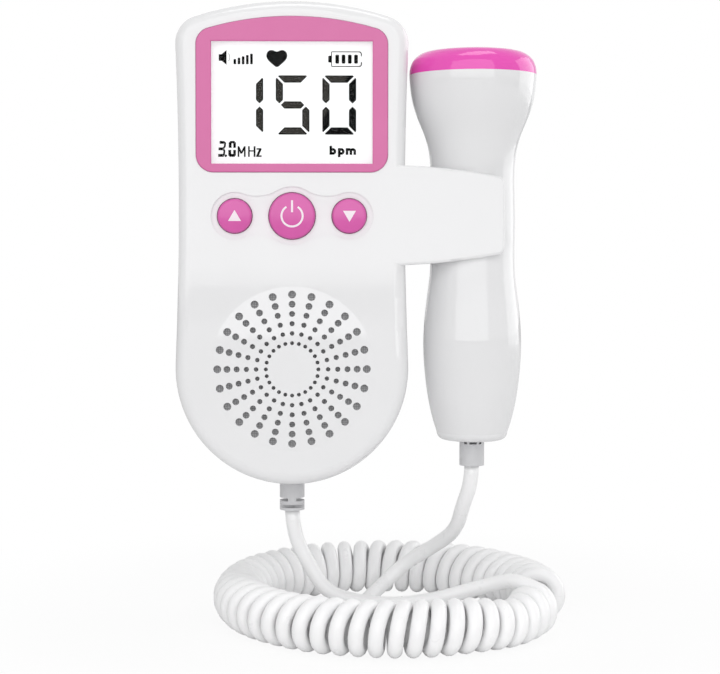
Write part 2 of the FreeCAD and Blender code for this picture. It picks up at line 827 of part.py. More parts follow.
def button(x, radius):
    # a domed cap with a flange behind the wall that stops it falling out
    rim_y = front_y - button_rise
    cap = rod_y(x, button_z, radius, rim_y, flange_back_y)
    sphere_radius = (radius**2 + button_dome**2) / (2 * button_dome)
    ball = Part.makeSphere(sphere_radius, Vector(x, rim_y - button_dome + sphere_radius, button_z))
    dome = ball.common(rod_y(x, button_z, radius, rim_y - 2 * button_dome, rim_y))
    cap = cap.fuse(dome).removeSplitter()
    rim = [e for e in cap.Edges if abs(e.BoundBox.YMin - rim_y) < tiny * 100 and e.BoundBox.YLength < tiny * 100]
    cap = cap.makeFillet(button_edge_radius, rim)
    return cap.fuse(rod_y(x, button_z, radius + button_flange, flange_front_y, flange_back_y))


def switch_stem(x):
    stem_base_y = board_front_y - switch_floor - stem_room
    return rod_y(x, button_z, switch_stem_radius, flange_back_y, stem_base_y)


def tact_switches():
    housings = []
    half = switch_size / 2
    for x, _ in button_places.values():
        housing = block(x - half, x + half, switch_top_y, board_front_y, button_z - half, button_z + half)
        bore = rod_y(
            x,
            button_z,
            switch_stem_radius + switch_stem_clearance,
            switch_top_y - overcut,
            board_front_y - switch_floor,
        )
        housings.append(housing.cut(bore))
    return Part.makeCompound(housings)


def main_board():
    low = foot_z + board_bottom_height
    high = crown_z - board_top_margin
    plate = block(-board_half_width, board_half_width, board_front_y, board_back_y, low, high)
    upper = [e for e in edges_along(plate, along_y) if abs(e.BoundBox.ZMin - high) < tiny * 100]
    plate = plate.makeChamfer(board_corner_cut, upper)
    holes = [
        rod_y(x, z, board_screw_radius + screw_hole_clearance, board_front_y - overcut, board_back_y + overcut)
        for x, z in board_post_places
    ]
    return plate.cut(holes)


def screw(x, z, seat_y, length, radius, head_radius, head_height, socket_radius, socket_depth):
    # a pan-head screw driven towards -Y, with a round-bottomed socket in its head
    shank = rod_y(x, z, radius, seat_y - length, seat_y)
    head = rod_y(x, z, head_radius, seat_y, seat_y + head_height)
    socket = rod_y(x, z, socket_radius, seat_y + head_height - socket_depth, seat_y + head_height)
    return shank.fuse(head).cut(socket)


def case_screws():
    return Part.makeCompound([
        screw(
            x, z, screw_seat_y, screw_length, screw_radius, screw_head_radius, screw_head_height,
            screw_socket_radius, screw_socket_depth,
        )
        for x, z in case_screw_places
    ])


def board_screws():
    return Part.makeCompound([
        screw(
            x, z, board_back_y, board_screw_length, board_screw_radius, board_screw_head_radius,
            board_screw_head_height, screw_socket_radius, screw_socket_depth,
        )
        for x, z in board_post_places
    ])


def speaker_section(points):
    # revolves (radius, y) points about the speaker's axis
    ring = [Vector(radius, y, grille_z) for radius, y in points]
    face = Part.Face(Part.makePolygon(ring + ring[:1]))
    return face.revolve(Vector(0, 0, grille_z), along_y, full_turn)


def speaker_frame():
    rim_back = speaker_front_y + speaker_rim_thickness
    inner = speaker_radius - speaker_rim_width
    plate_y = magnet_back_y - magnet_thickness
    return speaker_section([
        (speaker_radius, speaker_front_y),
        (speaker_radius, rim_back),
        (inner + speaker_basket_wall, rim_back),
        (speaker_throat_radius + speaker_basket_wall, plate_y),
        (0, plate_y),
        (0, plate_y - speaker_basket_wall),
        (speaker_throat_radius, plate_y - speaker_basket_wall),
        (inner, rim_back),
        (inner, speaker_front_y),
    ])


def speaker_cone():
    inner = speaker_radius - speaker_rim_width
    rim_y = speaker_front_y + speaker_rim_thickness / 2
    deep_y = rim_y + cone_depth
    cap_y = deep_y - dust_cap_rise
    return speaker_section([
        (inner, rim_y),
        (inner - speaker_rim_width, rim_y - cone_thickness / 2),
        (dust_cap_radius, deep_y),
        (dust_cap_radius / 2, cap_y),
        (0, cap_y - cone_thickness / 2),
        (0, cap_y + cone_thickness / 2),
        (dust_cap_radius / 2, cap_y + cone_thickness),
        (dust_cap_radius, deep_y + cone_thickness),
        (inner - speaker_rim_width, rim_y + cone_thickness / 2),
        (inner, rim_y + cone_thickness),
    ])


def speaker_gasket():
    y_low = front_inner_y + cloth_thickness
    ring = rod_y(0, grille_z, speaker_radius, y_low, speaker_front_y)
    return ring.cut(rod_y(0, grille_z, speaker_radius - gasket_width, y_low, speaker_front_y))


def battery_cells():
    cells = []
    for side in (-1, 1):
        x = side * cell_x
        body_length = cell_length - cell_nub_height
        if side < 0:
            low = box_bottom_z + contact_plate_thickness + battery_spring_length
            body = rod_z(x, cell_y, cell_radius, low, low + body_length)
            nub = rod_z(x, cell_y, cell_nub_radius, low + body_length, low + cell_length)
        else:
            low = box_bottom_z + contact_plate_thickness
            nub = rod_z(x, cell_y, cell_nub_radius, low, low + cell_nub_height)
            body = rod_z(x, cell_y, cell_radius, low + cell_nub_height, low + cell_length)
        edges = [e for e in body.Edges if isinstance(e.Curve, Part.Circle)]
        cells.append(body.makeFillet(cell_nub_height / 2, edges).fuse(nub))
    return Part.makeCompound(cells)


def battery_spring(x, z_low):
    # wire wound in even turns between its plate and the cell
    low = z_low + battery_spring_wire / 2
    rise = battery_spring_length - battery_spring_wire
    count = battery_spring_turns * battery_spring_bends
    points = []
    for bend in range(count + 1):
        turn = 2 * math.pi * bend / battery_spring_bends
        place = Vector(battery_spring_radius * math.cos(turn), battery_spring_radius * math.sin(turn), 0)
        points.append(place.add(Vector(x, cell_y, low + rise * bend / count)))
    path, _ = rounded_path(points)
    return round_tube(path, points, battery_spring_wire)


def battery_springs():
    low = box_bottom_z + contact_plate_thickness
    high = box_top_z - contact_plate_thickness - battery_spring_length
    return Part.makeCompound([battery_spring(-cell_x, low), battery_spring(cell_x, high)])


def battery_plates():
    half = contact_plate_size / 2
    plates = []
    for x in (-cell_x, cell_x):
        for z in (box_bottom_z, box_top_z - contact_plate_thickness):
            plates.append(
                block(x - half, x + half, cell_y - half, cell_y + half, z, z + contact_plate_thickness)
            )
    return Part.makeCompound(plates)


def earphone_jack():
    wall_inner_x = -waist_half + wall
    mouth_x = wall_inner_x - wall
    body_x = mouth_x + jack_bore_length + jack_back_wall
    half = jack_body_width / 2
    body = block(
        wall_inner_x + tongue_clearance,
        body_x,
        board_back_y,
        board_back_y + jack_body_height,
        jack_z - half,
        jack_z + half,
    )
    nose = Part.makeCylinder(jack_nose_radius, 2 * wall, Vector(mouth_x, jack_y, jack_z), along_x)
    bore = Part.makeCylinder(jack_bore_radius, jack_bore_length, Vector(mouth_x, jack_y, jack_z), along_x)
    return body.fuse(nose).cut(bore)


def board_chips():
    chips = []
    for x, above_foot, width, height, thick in chip_sizes:
        low = foot_z + above_foot - height / 2
        chips.append(
            block(x - width / 2, x + width / 2, board_back_y, board_back_y + thick, low, low + height)
        )
    return Part.makeCompound(chips)


def board_capacitors():
    return Part.makeCompound([
        rod_y(x, foot_z + above_foot, radius, board_back_y, board_back_y + tall)
        for x, above_foot, radius, tall in capacitor_sizes
    ])


def slotted_barrel(x, y, top_z, bottom_z):
    # a flexible gland: two slots from the sides, then two from the front and back
    barrel = rod_z(x, y, gland_radius, bottom_z, top_z)
    far = gland_radius + overcut
    side_z = top_z - gland_side_slot_depth
    cross_z = top_z - gland_cross_slot_depth
    cuts = []
    for side in (-1, 1):
        near_x, far_x = sorted((x + side * gland_web_half, x + side * far))
        cuts.append(block(near_x, far_x, y - far, y + far, side_z - gland_slot / 2, side_z + gland_slot / 2))
        near_y, far_y = sorted((y + side * gland_web_half, y + side * far))
        cuts.append(block(x - far, x + far, near_y, far_y, cross_z - gland_slot / 2, cross_z + gland_slot / 2))
    return barrel.cut(cuts)


def monitor_strain_relief():
    barrel = slotted_barrel(0, seam_y, foot_z, gland_end_z)
    cavity_z = foot_z + wall
    neck = rod_z(0, seam_y, gland_neck_radius, foot_z, cavity_z + gland_flange_thickness)
    flange_z = cavity_z + gland_flange_gap
    flange = rod_z(0, seam_y, gland_flange_radius, flange_z, flange_z + gland_flange_thickness)
    return barrel.fuse([neck, flange])


def probe_profile(inset):
    # outer line of the probe from its foot up to the seam with the cap, as (radius, height) places
    low = probe_neck_low_z
    high = probe_neck_high_z
    foot = probe_foot_z + probe_foot_corner
    places = [(probe_foot_radius, foot)]
    for out, up in probe_foot_shape:
        radius = probe_foot_radius + out * (probe_belly_radius - probe_foot_radius)
        places.append((radius, foot + up * (low - foot)))
    for out, up in probe_waist_shape:
        radius = probe_neck_radius + out * (probe_belly_radius - probe_neck_radius)
        places.append((radius, foot + up * (low - foot)))
    for z in (low, (low + high) / 2, high):
        places.append((probe_neck_radius, z))
    for out, up in probe_head_shape:
        radius = probe_neck_radius + out * (probe_head_radius - probe_neck_radius)
        places.append((radius, high + up * (probe_seam_z - high)))
    places.append((probe_head_radius, probe_seam_z))
    return [(radius - inset, z) for radius, z in places]


def probe_curve(inset):
    curve = Part.BSplineCurve()
    curve.interpolate([Vector(radius, 0, z) for radius, z in probe_profile(inset)])
    return curve.toShape()


def probe_turned(edges, start_angle, sweep):
    face = Part.Face(Part.Wire(edges))
    solid = face.revolve(Vector(0, 0, 0), along_z, sweep)
    solid.rotate(Vector(0, 0, 0), along_z, start_angle)
    solid.translate(Vector(probe_axis_x, probe_y, 0))
    return solid


def probe_half(start_angle):
    # half a turned shell: a hollow handle with a thick floor, cut in the plane of its axis
    outer = probe_profile(0)
    inner = probe_profile(probe_wall)
    foot_r, foot_top = outer[0]
    top_r = outer[-1][0]
    in_r, in_z = inner[0]
    in_top_r = inner[-1][0]
    floor_z = probe_foot_z + probe_floor
    gland_r = gland_neck_radius + gland_clearance
    corner_bend = Vector(
        foot_r - probe_foot_corner * (1 - math.sqrt(0.5)), 0, probe_foot_z + probe_foot_corner * (1 - math.sqrt(0.5))
    )
    foot_in = Vector(foot_r - probe_foot_corner, 0, probe_foot_z)
    edges = [
        line(Vector(gland_r, 0, floor_z), Vector(gland_r, 0, probe_foot_z)),
        line(Vector(gland_r, 0, probe_foot_z), foot_in),
        arc(foot_in, corner_bend, Vector(foot_r, 0, foot_top)),
        probe_curve(0),
        line(Vector(top_r, 0, probe_seam_z), Vector(in_top_r, 0, probe_seam_z)),
        probe_curve(probe_wall),
        line(Vector(in_r, 0, in_z), Vector(in_r, 0, floor_z)),
        line(Vector(in_r, 0, floor_z), Vector(gland_r, 0, floor_z)),
    ]
    return probe_turned(edges, start_angle, full_turn / 2)


def probe_inside():
    inner = probe_profile(probe_wall)
    edges = [
        line(Vector(0, 0, inner[0][1]), Vector(inner[0][0], 0, inner[0][1])),
        probe_curve(probe_wall),
        line(Vector(inner[-1][0], 0, probe_seam_z), Vector(0, 0, probe_seam_z)),
        line(Vector(0, 0, probe_seam_z), Vector(0, 0, inner[0][1])),
    ]
    return probe_turned(edges, 0, full_turn)


def probe_ribs(front):
    # webs that hold the small board between the halves
    face_y = probe_y - probe_board_thickness / 2 if front else probe_y + probe_board_thickness / 2
    far_y = probe_y - 2 * probe_neck_radius if front else probe_y + 2 * probe_neck_radius
    y_low, y_high = sorted((face_y, far_y))
    ribs = []
    for z in (-probe_rib_z, probe_rib_z):
        ribs.append(
            block(
                probe_axis_x - probe_rib_half_width,
                probe_axis_x + probe_rib_half_width,
                y_low,
                y_high,
                z - probe_rib_thickness / 2,
                z + probe_rib_thickness / 2,
            )
        )
    return ribs


def probe_screw_places():
    return [(probe_axis_x, -probe_screw_z), (probe_axis_x, probe_screw_z)]


def probe_front_shell():
    room = probe_inside()
    extras = [rib.common(room) for rib in probe_ribs(True)]
    for x, z in probe_screw_places():
        extras.append(rod_y(x, z, probe_boss_radius, probe_y - probe_belly_radius, probe_y).common(room))
    shell = probe_half(-full_turn / 2).fuse(extras)
    seat_y = probe_y + probe_screw_recess
    cuts = [
        rod_y(x, z, screw_radius + screw_thread_clearance, seat_y - probe_screw_length, probe_y + overcut)
        for x, z in probe_screw_places()
    ]
    return shell.cut(cuts)


def probe_rear_shell():
    room = probe_inside()
    far_y = probe_y + probe_head_radius
    extras = [rib.common(room) for rib in probe_ribs(False)]
    for x, z in probe_screw_places():
        extras.append(rod_y(x, z, probe_boss_radius, probe_y, far_y).common(room))
    shell = probe_half(0).fuse(extras)
    seat_y = probe_y + probe_screw_recess
    cuts = []
    for x, z in probe_screw_places():
        cuts.append(rod_y(x, z, screw_head_radius + screw_hole_clearance, seat_y, far_y + overcut))
        cuts.append(rod_y(x, z, screw_radius + screw_hole_clearance, probe_y - overcut, seat_y))
    return shell.cut(cuts)


def probe_screws():
    seat_y = probe_y + probe_screw_recess
    return Part.makeCompound([
        screw(
            x, z, seat_y, probe_screw_length, screw_radius, screw_head_radius, screw_head_height,
            screw_socket_radius, screw_socket_depth,
        )
        for x, z in probe_screw_places()
    ])


def probe_face_cap():
    # the domed contact face, with a skirt inside the handle
    top_z = probe_seam_z + probe_cap_rise
    ceiling_z = top_z - cap_window
    skirt_r = cap_skirt_radius
    skirt_z = probe_seam_z - cap_skirt
    bend, shoulder, turn, edge = [
        Vector(probe_head_radius - inside, 0, probe_seam_z + up * probe_cap_rise) for inside, up in cap_shape
    ]
    crown = Vector(0, 0, top_z)
    crown_fall = top_z - edge.z
    dome_radius = (edge.x**2 + crown_fall**2) / (2 * crown_fall)
    half_crown = Vector(edge.x / 2, 0, top_z - dome_radius + math.sqrt(dome_radius**2 - edge.x**2 / 4))
    edges = [
        line(Vector(0, 0, ceiling_z), Vector(cap_bore_radius, 0, ceiling_z)),
        line(Vector(cap_bore_radius, 0, ceiling_z), Vector(cap_bore_radius, 0, skirt_z)),
        line(Vector(cap_bore_radius, 0, skirt_z), Vector(skirt_r, 0, skirt_z)),
        line(Vector(skirt_r, 0, skirt_z), Vector(skirt_r, 0, probe_seam_z)),
        line(Vector(skirt_r, 0, probe_seam_z), Vector(probe_head_radius, 0, probe_seam_z)),
        arc(Vector(probe_head_radius, 0, probe_seam_z), bend, shoulder),
        arc(shoulder, turn, edge),
        arc(edge, half_crown, crown),
        line(crown, Vector(0, 0, ceiling_z)),
    ]
    return probe_turned(edges, 0, full_turn)


def piezo_crystals():
    # a sending and a receiving half disc, bonded behind the face
    high = probe_seam_z + probe_cap_rise - cap_window
    disc = rod_z(probe_axis_x, probe_y, crystal_radius, high - crystal_thickness, high)
    reach = 2 * crystal_radius
    gap = block(
        probe_axis_x - crystal_gap / 2,
        probe_axis_x + crystal_gap / 2,
        probe_y - reach,
        probe_y + reach,
        high - 2 * crystal_thickness,
        high + crystal_thickness,
    )
    return disc.cut(gap)


def crystal_holder():
    high = probe_seam_z + probe_cap_rise - cap_window - crystal_thickness
    radius = cap_bore_radius - holder_clearance
    cup = rod_z(probe_axis_x, probe_y, radius, high - holder_height, high)
    return cup.cut(
        rod_z(probe_axis_x, probe_y, radius - holder_wall, high - holder_height, high - holder_floor)
    )


def probe_strain_relief():
    barrel = rod_z(probe_axis_x, probe_y, gland_radius, probe_gland_end_z, probe_foot_z)
    slot_high = probe_foot_z - probe_gland_slot
    slot_low = slot_high - probe_gland_slot
    far = gland_radius + overcut
    slots = []
    for across, width in probe_gland_slots:
        x_low = probe_axis_x + across - width / 2
        for side in (-1, 1):
            near_y, far_y = sorted((probe_y + side * gland_web_half, probe_y + side * far))
            slots.append(block(x_low, x_low + width, near_y, far_y, slot_low, slot_high))
    floor_top = probe_foot_z + probe_floor
    neck = rod_z(probe_axis_x, probe_y, gland_neck_radius, probe_foot_z, floor_top)
    flange = rod_z(
        probe_axis_x, probe_y, gland_flange_radius, floor_top, floor_top + gland_flange_thickness
    )
    return barrel.cut(slots).fuse([neck, flange])


def rounded_path(points):
    # straight runs joined by tangent arcs, and the arcs' radii
    edges = []
    last = points[0]
    radii = []
    for before, corner, after in zip(points, points[1:], points[2:]):
        back = before.sub(corner)
        ahead = after.sub(corner)
        shorter = min(back.Length, ahead.Length)
        set_off = bend_share * shorter
        half_turn = (math.pi - back.getAngle(ahead)) / 2
        radius = set_off / math.tan(half_turn)
        radii.append(radius)
        start = corner.add(Vector(back).normalize().multiply(set_off))
        end = corner.add(Vector(ahead).normalize().multiply(set_off))
        inward = Vector(back).normalize().add(Vector(ahead).normalize()).normalize()
        middle = corner.add(inward.multiply(radius / math.cos(half_turn) - radius))
        edges.append(line(last, start))
        edges.append(arc(start, middle, end))
        last = end
    edges.append(line(last, points[-1]))
    return Part.Wire(edges), radii


def round_tube(path, points, diameter):
    heading = points[1].sub(points[0])
    section = Part.Wire(Part.Circle(points[0], heading, diameter / 2).toShape())
    return path.makePipeShell([section], True, False)


def lead_tube(name, points):
    path, radii = rounded_path(points)
    tube = round_tube(path, points, cord_diameter)
    expected = path.Length * math.pi * cord_diameter**2 / 4
    print(f"{name}: length {path.Length:.1f}, volume {tube.Volume:.1f} for {expected:.1f}")
    print("  radii " + ", ".join(f"{radius:.1f}" for radius in radii))
    return tube


def cord_coil():
    ring = Part.makeTorus(
        coil_ring_radius, coil_tube_radius, Vector(0, 0, 0), along_z, -full_turn / 2, full_turn / 2,
        full_turn - coil_gap_angle,
    )
    ring.rotate(Vector(0, 0, 0), along_z, coil_end_angle + coil_gap_angle)
    ring.translate(Vector(coil_centre_x, coil_centre_y, coil_centre_z))
    return ring


def build():
    body = case_body()
    save("front_shell", front_shell(body))
    save("rear_shell", rear_shell(body))
    save("battery_cover", battery_cover())
    save("screen_bezel", screen_bezel())
    save("screen_lens", window_block(lens_overlap, bezel_back_y, lens_back_y))
    save("lcd_glass", block(-lcd_half, lcd_half, front_inner_y, lcd_back_y, lcd_bottom_z, lcd_top_z))
    backlight_z = lcd_bottom_z + lcd_contact_strip
    save("lcd_backlight", block(-lcd_half, lcd_half, lcd_back_y, board_front_y, backlight_z, lcd_top_z))
    strip_z = (lcd_bottom_z + backlight_z) / 2
    save("lcd_connector", block(
        -connector_width / 2, connector_width / 2, lcd_back_y, board_front_y,
        strip_z - connector_thickness / 2, strip_z + connector_thickness / 2,
    ))
    save("main_board", main_board())
    save("board_chips", board_chips())
    save("board_capacitors", board_capacitors())
    save("board_screws", board_screws())
    save("case_screws", case_screws())
    save("tact_switches", tact_switches())
    for name, (x, radius) in button_places.items():
        save(name, button(x, radius))
        save(name.replace("button", "switch_stem"), switch_stem(x))
    save("speaker_frame", speaker_frame())
    save("speaker_cone", speaker_cone())
    save("speaker_magnet", rod_y(0, grille_z, magnet_radius, magnet_back_y - magnet_thickness, magnet_back_y))
    save("speaker_gasket", speaker_gasket())
    save("speaker_cloth", rod_y(0, grille_z, speaker_radius, front_inner_y, front_inner_y + cloth_thickness))
    save("battery_cells", battery_cells())
    save("battery_springs", battery_springs())
    save("battery_plates", battery_plates())
    save("earphone_jack", earphone_jack())
    save("monitor_strain_relief", monitor_strain_relief())
    save("probe_front_shell", probe_front_shell())
    save("probe_rear_shell", probe_rear_shell())
    save("probe_face_cap", probe_face_cap())
    save("piezo_crystals", piezo_crystals())
    save("crystal_holder", crystal_holder())
    save("probe_board", block(
        probe_axis_x - probe_board_half_width, probe_axis_x + probe_board_half_width,
        probe_y - probe_board_thickness / 2, probe_y + probe_board_thickness / 2,
        probe_board_low_z, probe_board_high_z,
    ))
    save("probe_screws", probe_screws())
    save("probe_strain_relief", probe_strain_relief())
    monitor_exit = Vector(0, seam_y, gland_end_z)
    probe_exit = Vector(probe_axis_x, probe_y, probe_gland_end_z)
    monitor_start = [monitor_exit, monitor_exit.sub(Vector(0, 0, monitor_lead_drop))]
    probe_start = [probe_exit, probe_exit.sub(Vector(0, 0, probe_lead_drop))]
    save("monitor_lead", lead_tube("monitor lead", monitor_start + monitor_route))
    save("probe_lead", lead_tube("probe lead", probe_start + probe_route))
    save("cord_coil", cord_coil())


build()
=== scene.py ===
import math
import bpy
import bmesh
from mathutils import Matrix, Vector


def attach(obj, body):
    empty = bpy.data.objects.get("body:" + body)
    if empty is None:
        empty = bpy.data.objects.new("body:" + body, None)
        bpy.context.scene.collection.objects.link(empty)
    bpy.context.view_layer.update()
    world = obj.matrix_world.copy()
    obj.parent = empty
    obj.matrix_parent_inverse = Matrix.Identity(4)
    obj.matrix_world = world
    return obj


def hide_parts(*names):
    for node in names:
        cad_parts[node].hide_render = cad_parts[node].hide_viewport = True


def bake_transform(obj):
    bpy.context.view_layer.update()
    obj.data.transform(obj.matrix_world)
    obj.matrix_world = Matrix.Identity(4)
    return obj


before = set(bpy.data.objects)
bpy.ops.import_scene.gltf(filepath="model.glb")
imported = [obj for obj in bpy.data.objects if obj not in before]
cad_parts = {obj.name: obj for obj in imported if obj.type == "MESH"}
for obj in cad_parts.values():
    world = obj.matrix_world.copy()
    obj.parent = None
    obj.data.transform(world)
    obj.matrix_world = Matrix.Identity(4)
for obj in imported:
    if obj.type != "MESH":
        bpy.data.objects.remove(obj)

mm = 0.001
scene = bpy.context.scene
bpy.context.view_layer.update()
print("frame loaded:", len(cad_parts), "nodes")


# small helpers

def linearFromHex(code):
    # sRGB hex to the linear colour that shaders work in
    channels = [int(code[i:i + 2], 16) / 255 for i in (0, 2, 4)]
    return tuple(c / 12.92 if c <= 0.04045 else ((c + 0.055) / 1.055) ** 2.4 for c in channels) + (1.0,)


def addNode(tree, kind, settings=None, inputs=None, links=None):
    node = tree.nodes.new(kind)
    for name, value in (settings or {}).items():
        setattr(node, name, value)
    for name, value in (inputs or {}).items():
        node.inputs[name].default_value = value
    for name, source in (links or {}).items():
        tree.links.new(source, node.inputs[name])
    return node


def emptyTree(owner):
    # the node tree of a new material or world, without the nodes it starts with
    owner.use_nodes = True
    owner.node_tree.nodes.clear()
    return owner.node_tree


def startMaterial(name, shaderInputs):
    # a fresh material with one Principled shader; gives back (material, tree, shader)
    material = bpy.data.materials.new(name)
    tree = emptyTree(material)
    shader = addNode(tree, "ShaderNodeBsdfPrincipled", inputs=shaderInputs)
    addNode(tree, "ShaderNodeOutputMaterial", links={"Surface": shader.outputs["BSDF"]})
    return material, tree, shader


def objectPoint(tree):
    return addNode(tree, "ShaderNodeTexCoord").outputs["Object"]


def perMillimetre(size):
    # texture scale that makes one feature this many millimetres wide
    return 1000.0 / size


def noiseField(tree, point, size, detail=2.0, roughness=0.5):
    # noise with features of this many millimetres
    noise = addNode(tree, "ShaderNodeTexNoise", links={"Vector": point},
                    inputs={"Scale": perMillimetre(size), "Detail": detail, "Roughness": roughness})
    return noise.outputs["Fac"]


def mixedColour(tree, colour, shade, share):
    mix = addNode(tree, "ShaderNodeMix", {"data_type": "RGBA"},
                  {"A": linearFromHex(colour), "B": linearFromHex(shade)}, {"Factor": share})
    return mix.outputs["Result"]


def mappedRange(tree, value, source, target):
    # a value carried from one (low, high) range to another
    ramp = addNode(tree, "ShaderNodeMapRange", links={"Value": value}, inputs={
        "From Min": source[0], "From Max": source[1], "To Min": target[0], "To Max": target[1],
    })
    return ramp.outputs["Result"]


def bumpNormal(tree, height, strength, depthMm):
    bump = addNode(tree, "ShaderNodeBump", inputs={"Strength": strength, "Distance": depthMm * mm},
                   links={"Height": height})
    return bump.outputs["Normal"]


def mathStep(tree, operation, *values, clamp=False):
    # one step of arithmetic on other nodes' outputs and plain numbers
    numbers = {i: value for i, value in enumerate(values) if isinstance(value, float)}
    sockets = {i: value for i, value in enumerate(values) if i not in numbers}
    step = addNode(tree, "ShaderNodeMath", {"operation": operation, "use_clamp": clamp}, numbers, sockets)
    return step.outputs[0]


def linkShader(tree, shader, sources):
    for name, source in sources.items():
        tree.links.new(source, shader.inputs[name])


def placePiece(name, mesh, material, body):
    # put a finished mesh into the scene, on its body if it has one
    mesh.materials.append(material)
    piece = bpy.data.objects.new(name, mesh)
    scene.collection.objects.link(piece)
    if body:
        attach(piece, body)
    return piece


def meshPiece(name, points, faces, material, body, smooth=True):
    # points in millimetres, in the frame of the part
    mesh = bpy.data.meshes.new(name)
    mesh.from_pydata([Vector(p) * mm for p in points], [], faces)
    mesh.validate()
    bm = bmesh.new()
    bm.from_mesh(mesh)
    bmesh.ops.recalc_face_normals(bm, faces=bm.faces)
    bm.to_mesh(mesh)
    bm.free()
    for polygon in mesh.polygons:
        polygon.use_smooth = smooth
    return placePiece(name, mesh, material, body)


# camera

cameraLook = {
    "place": (0.0, -0.4792, 0.0),
    "lens": 81.05,
    "sensor": 36.0,
    "pitch": 1.65,      # degrees down
    "yaw": 1.2,         # degrees to the right
    "shift": (0.0472, -0.0647),
    "clip": (0.01, 50.0),
}
cameraData = bpy.data.cameras.new("camera")
cameraData.lens = cameraLook["lens"]
cameraData.sensor_width = cameraLook["sensor"]
cameraData.shift_x, cameraData.shift_y = cameraLook["shift"]
cameraData.clip_start, cameraData.clip_end = cameraLook["clip"]
camera = bpy.data.objects.new("camera", cameraData)
camera.location = cameraLook["place"]
camera.rotation_euler = (math.radians(90 - cameraLook["pitch"]), 0, -math.radians(cameraLook["yaw"]))
scene.collection.objects.link(camera)
scene.camera = camera
print("camera placed")


# materials

surfaceLook = {
    "usualShine": 0.5,
    "bumpMm": 0.02,
    "smudgeSpan": (0.3, 0.7),   # the part of the noise that moves the gloss
    "metalBump": 0.2,
}


def mouldedPlastic(name, look):
    # slow drift in the pigment, smudges in the gloss, and the tool's own skin as a faint bump
    material, tree, shader = startMaterial(name, {
        "IOR": look["ior"],
        "Specular IOR Level": look.get("shine", surfaceLook["usualShine"]),
    })
    point = objectPoint(tree)
    drift = noiseField(tree, point, look["driftMm"], detail=3.0)
    smudge = noiseField(tree, point, look["smudgeMm"], detail=4.0, roughness=0.6)
    skin = noiseField(tree, point, look["skinMm"])
    linkShader(tree, shader, {
        "Base Color": mixedColour(tree, look["colour"], look["shade"], drift),
        "Roughness": mappedRange(tree, smudge, surfaceLook["smudgeSpan"], (look["smooth"], look["rough"])),
        "Normal": bumpNormal(tree, skin, look["skin"], surfaceLook["bumpMm"]),
    })
    return material


def metalFinish(name, look):
    # fine lines or grains in the gloss, a little coarser than life so that they show
    material, tree, shader = startMaterial(name, {"Metallic": 1.0})
    stretch = addNode(tree, "ShaderNodeMapping", inputs={"Scale": look["grain"]},
                      links={"Vector": objectPoint(tree)})
    lines = noiseField(tree, stretch.outputs["Vector"], look["grainMm"], detail=3.0)
    linkShader(tree, shader, {
        "Base Color": mixedColour(tree, look["colour"], look["shade"], lines),
        "Roughness": mappedRange(tree, lines, (0.0, 1.0), (look["smooth"], look["rough"])),
        "Normal": bumpNormal(tree, lines, surfaceLook["metalBump"], surfaceLook["bumpMm"]),
    })
    return material


# ABS moulded in a polished tool: a clean hard gloss with a trace of orange peel
whiteAbsCase = mouldedPlastic("whiteAbsCase", {
    "colour": "F0F0F1", "shade": "ECECED", "driftMm": 38, "ior": 1.54,
    "smooth": 0.02, "rough": 0.06, "smudgeMm": 14, "skinMm": 1.6, "skin": 0.03,
})
whiteAbsProbe = mouldedPlastic("whiteAbsProbe", {
    "colour": "ECECED", "shade": "E8E8E9", "driftMm": 30, "ior": 1.54,
    "smooth": 0.03, "rough": 0.08, "smudgeMm": 12, "skinMm": 1.5, "skin": 0.04,
})
# ABS moulded in a vapour-blasted tool: an even satin
pinkAbsBezel = mouldedPlastic("pinkAbsBezel", {
    "colour": "D96FA8", "shade": "D369A2", "driftMm": 20, "ior": 1.54,
    "smooth": 0.30, "rough": 0.38, "smudgeMm": 9, "skinMm": 0.35, "skin": 0.35,
})
# ABS moulded in a polished tool, over a deeper pigment
pinkAbsButton = mouldedPlastic("pinkAbsButton", {
    "colour": "DB5BAD", "shade": "D454A6", "driftMm": 7, "ior": 1.54,
    "smooth": 0.16, "rough": 0.24, "smudgeMm": 4, "skinMm": 0.7, "skin": 0.15,
})
# ABS, moulded and then buffed where it meets the skin
pinkAbsFace = mouldedPlastic("pinkAbsFace", {
    "colour": "EF4CBB", "shade": "EB48B6", "driftMm": 12, "ior": 1.54,
    "smooth": 0.02, "rough": 0.05, "smudgeMm": 7, "skinMm": 1.2, "skin": 0.03,
})
# plasticised PVC, overmoulded: soft low gloss
greyPvcGland = mouldedPlastic("greyPvcGland", {
    "colour": "D2D2D4", "shade": "C9C9CB", "driftMm": 5, "ior": 1.53,
    "smooth": 0.38, "rough": 0.50, "smudgeMm": 3, "skinMm": 0.3, "skin": 0.3,
})
# thermoplastic polyurethane, extruded: satin, with a faint pull from the die
whitePolyurethaneCord = mouldedPlastic("whitePolyurethaneCord", {
    "colour": "FAFAFA", "shade": "F6F6F7", "driftMm": 9, "ior": 1.50,
    "smooth": 0.26, "rough": 0.36, "smudgeMm": 5, "skinMm": 0.8, "skin": 0.18,
})
# nylon, moulded in an etched tool: dry black
blackNylon = mouldedPlastic("blackNylon", {
    "colour": "1B1B1D", "shade": "232325", "driftMm": 4, "ior": 1.53,
    "smooth": 0.42, "rough": 0.55, "smudgeMm": 2, "skinMm": 0.2, "skin": 0.4,
})
# epoxy resin, transfer moulded round the silicon: dull and slightly pitted
blackEpoxyChip = mouldedPlastic("blackEpoxyChip", {
    "colour": "151516", "shade": "1E1E1F", "driftMm": 2, "ior": 1.55,
    "smooth": 0.5, "rough": 0.65, "smudgeMm": 1, "skinMm": 0.15, "skin": 0.5,
})
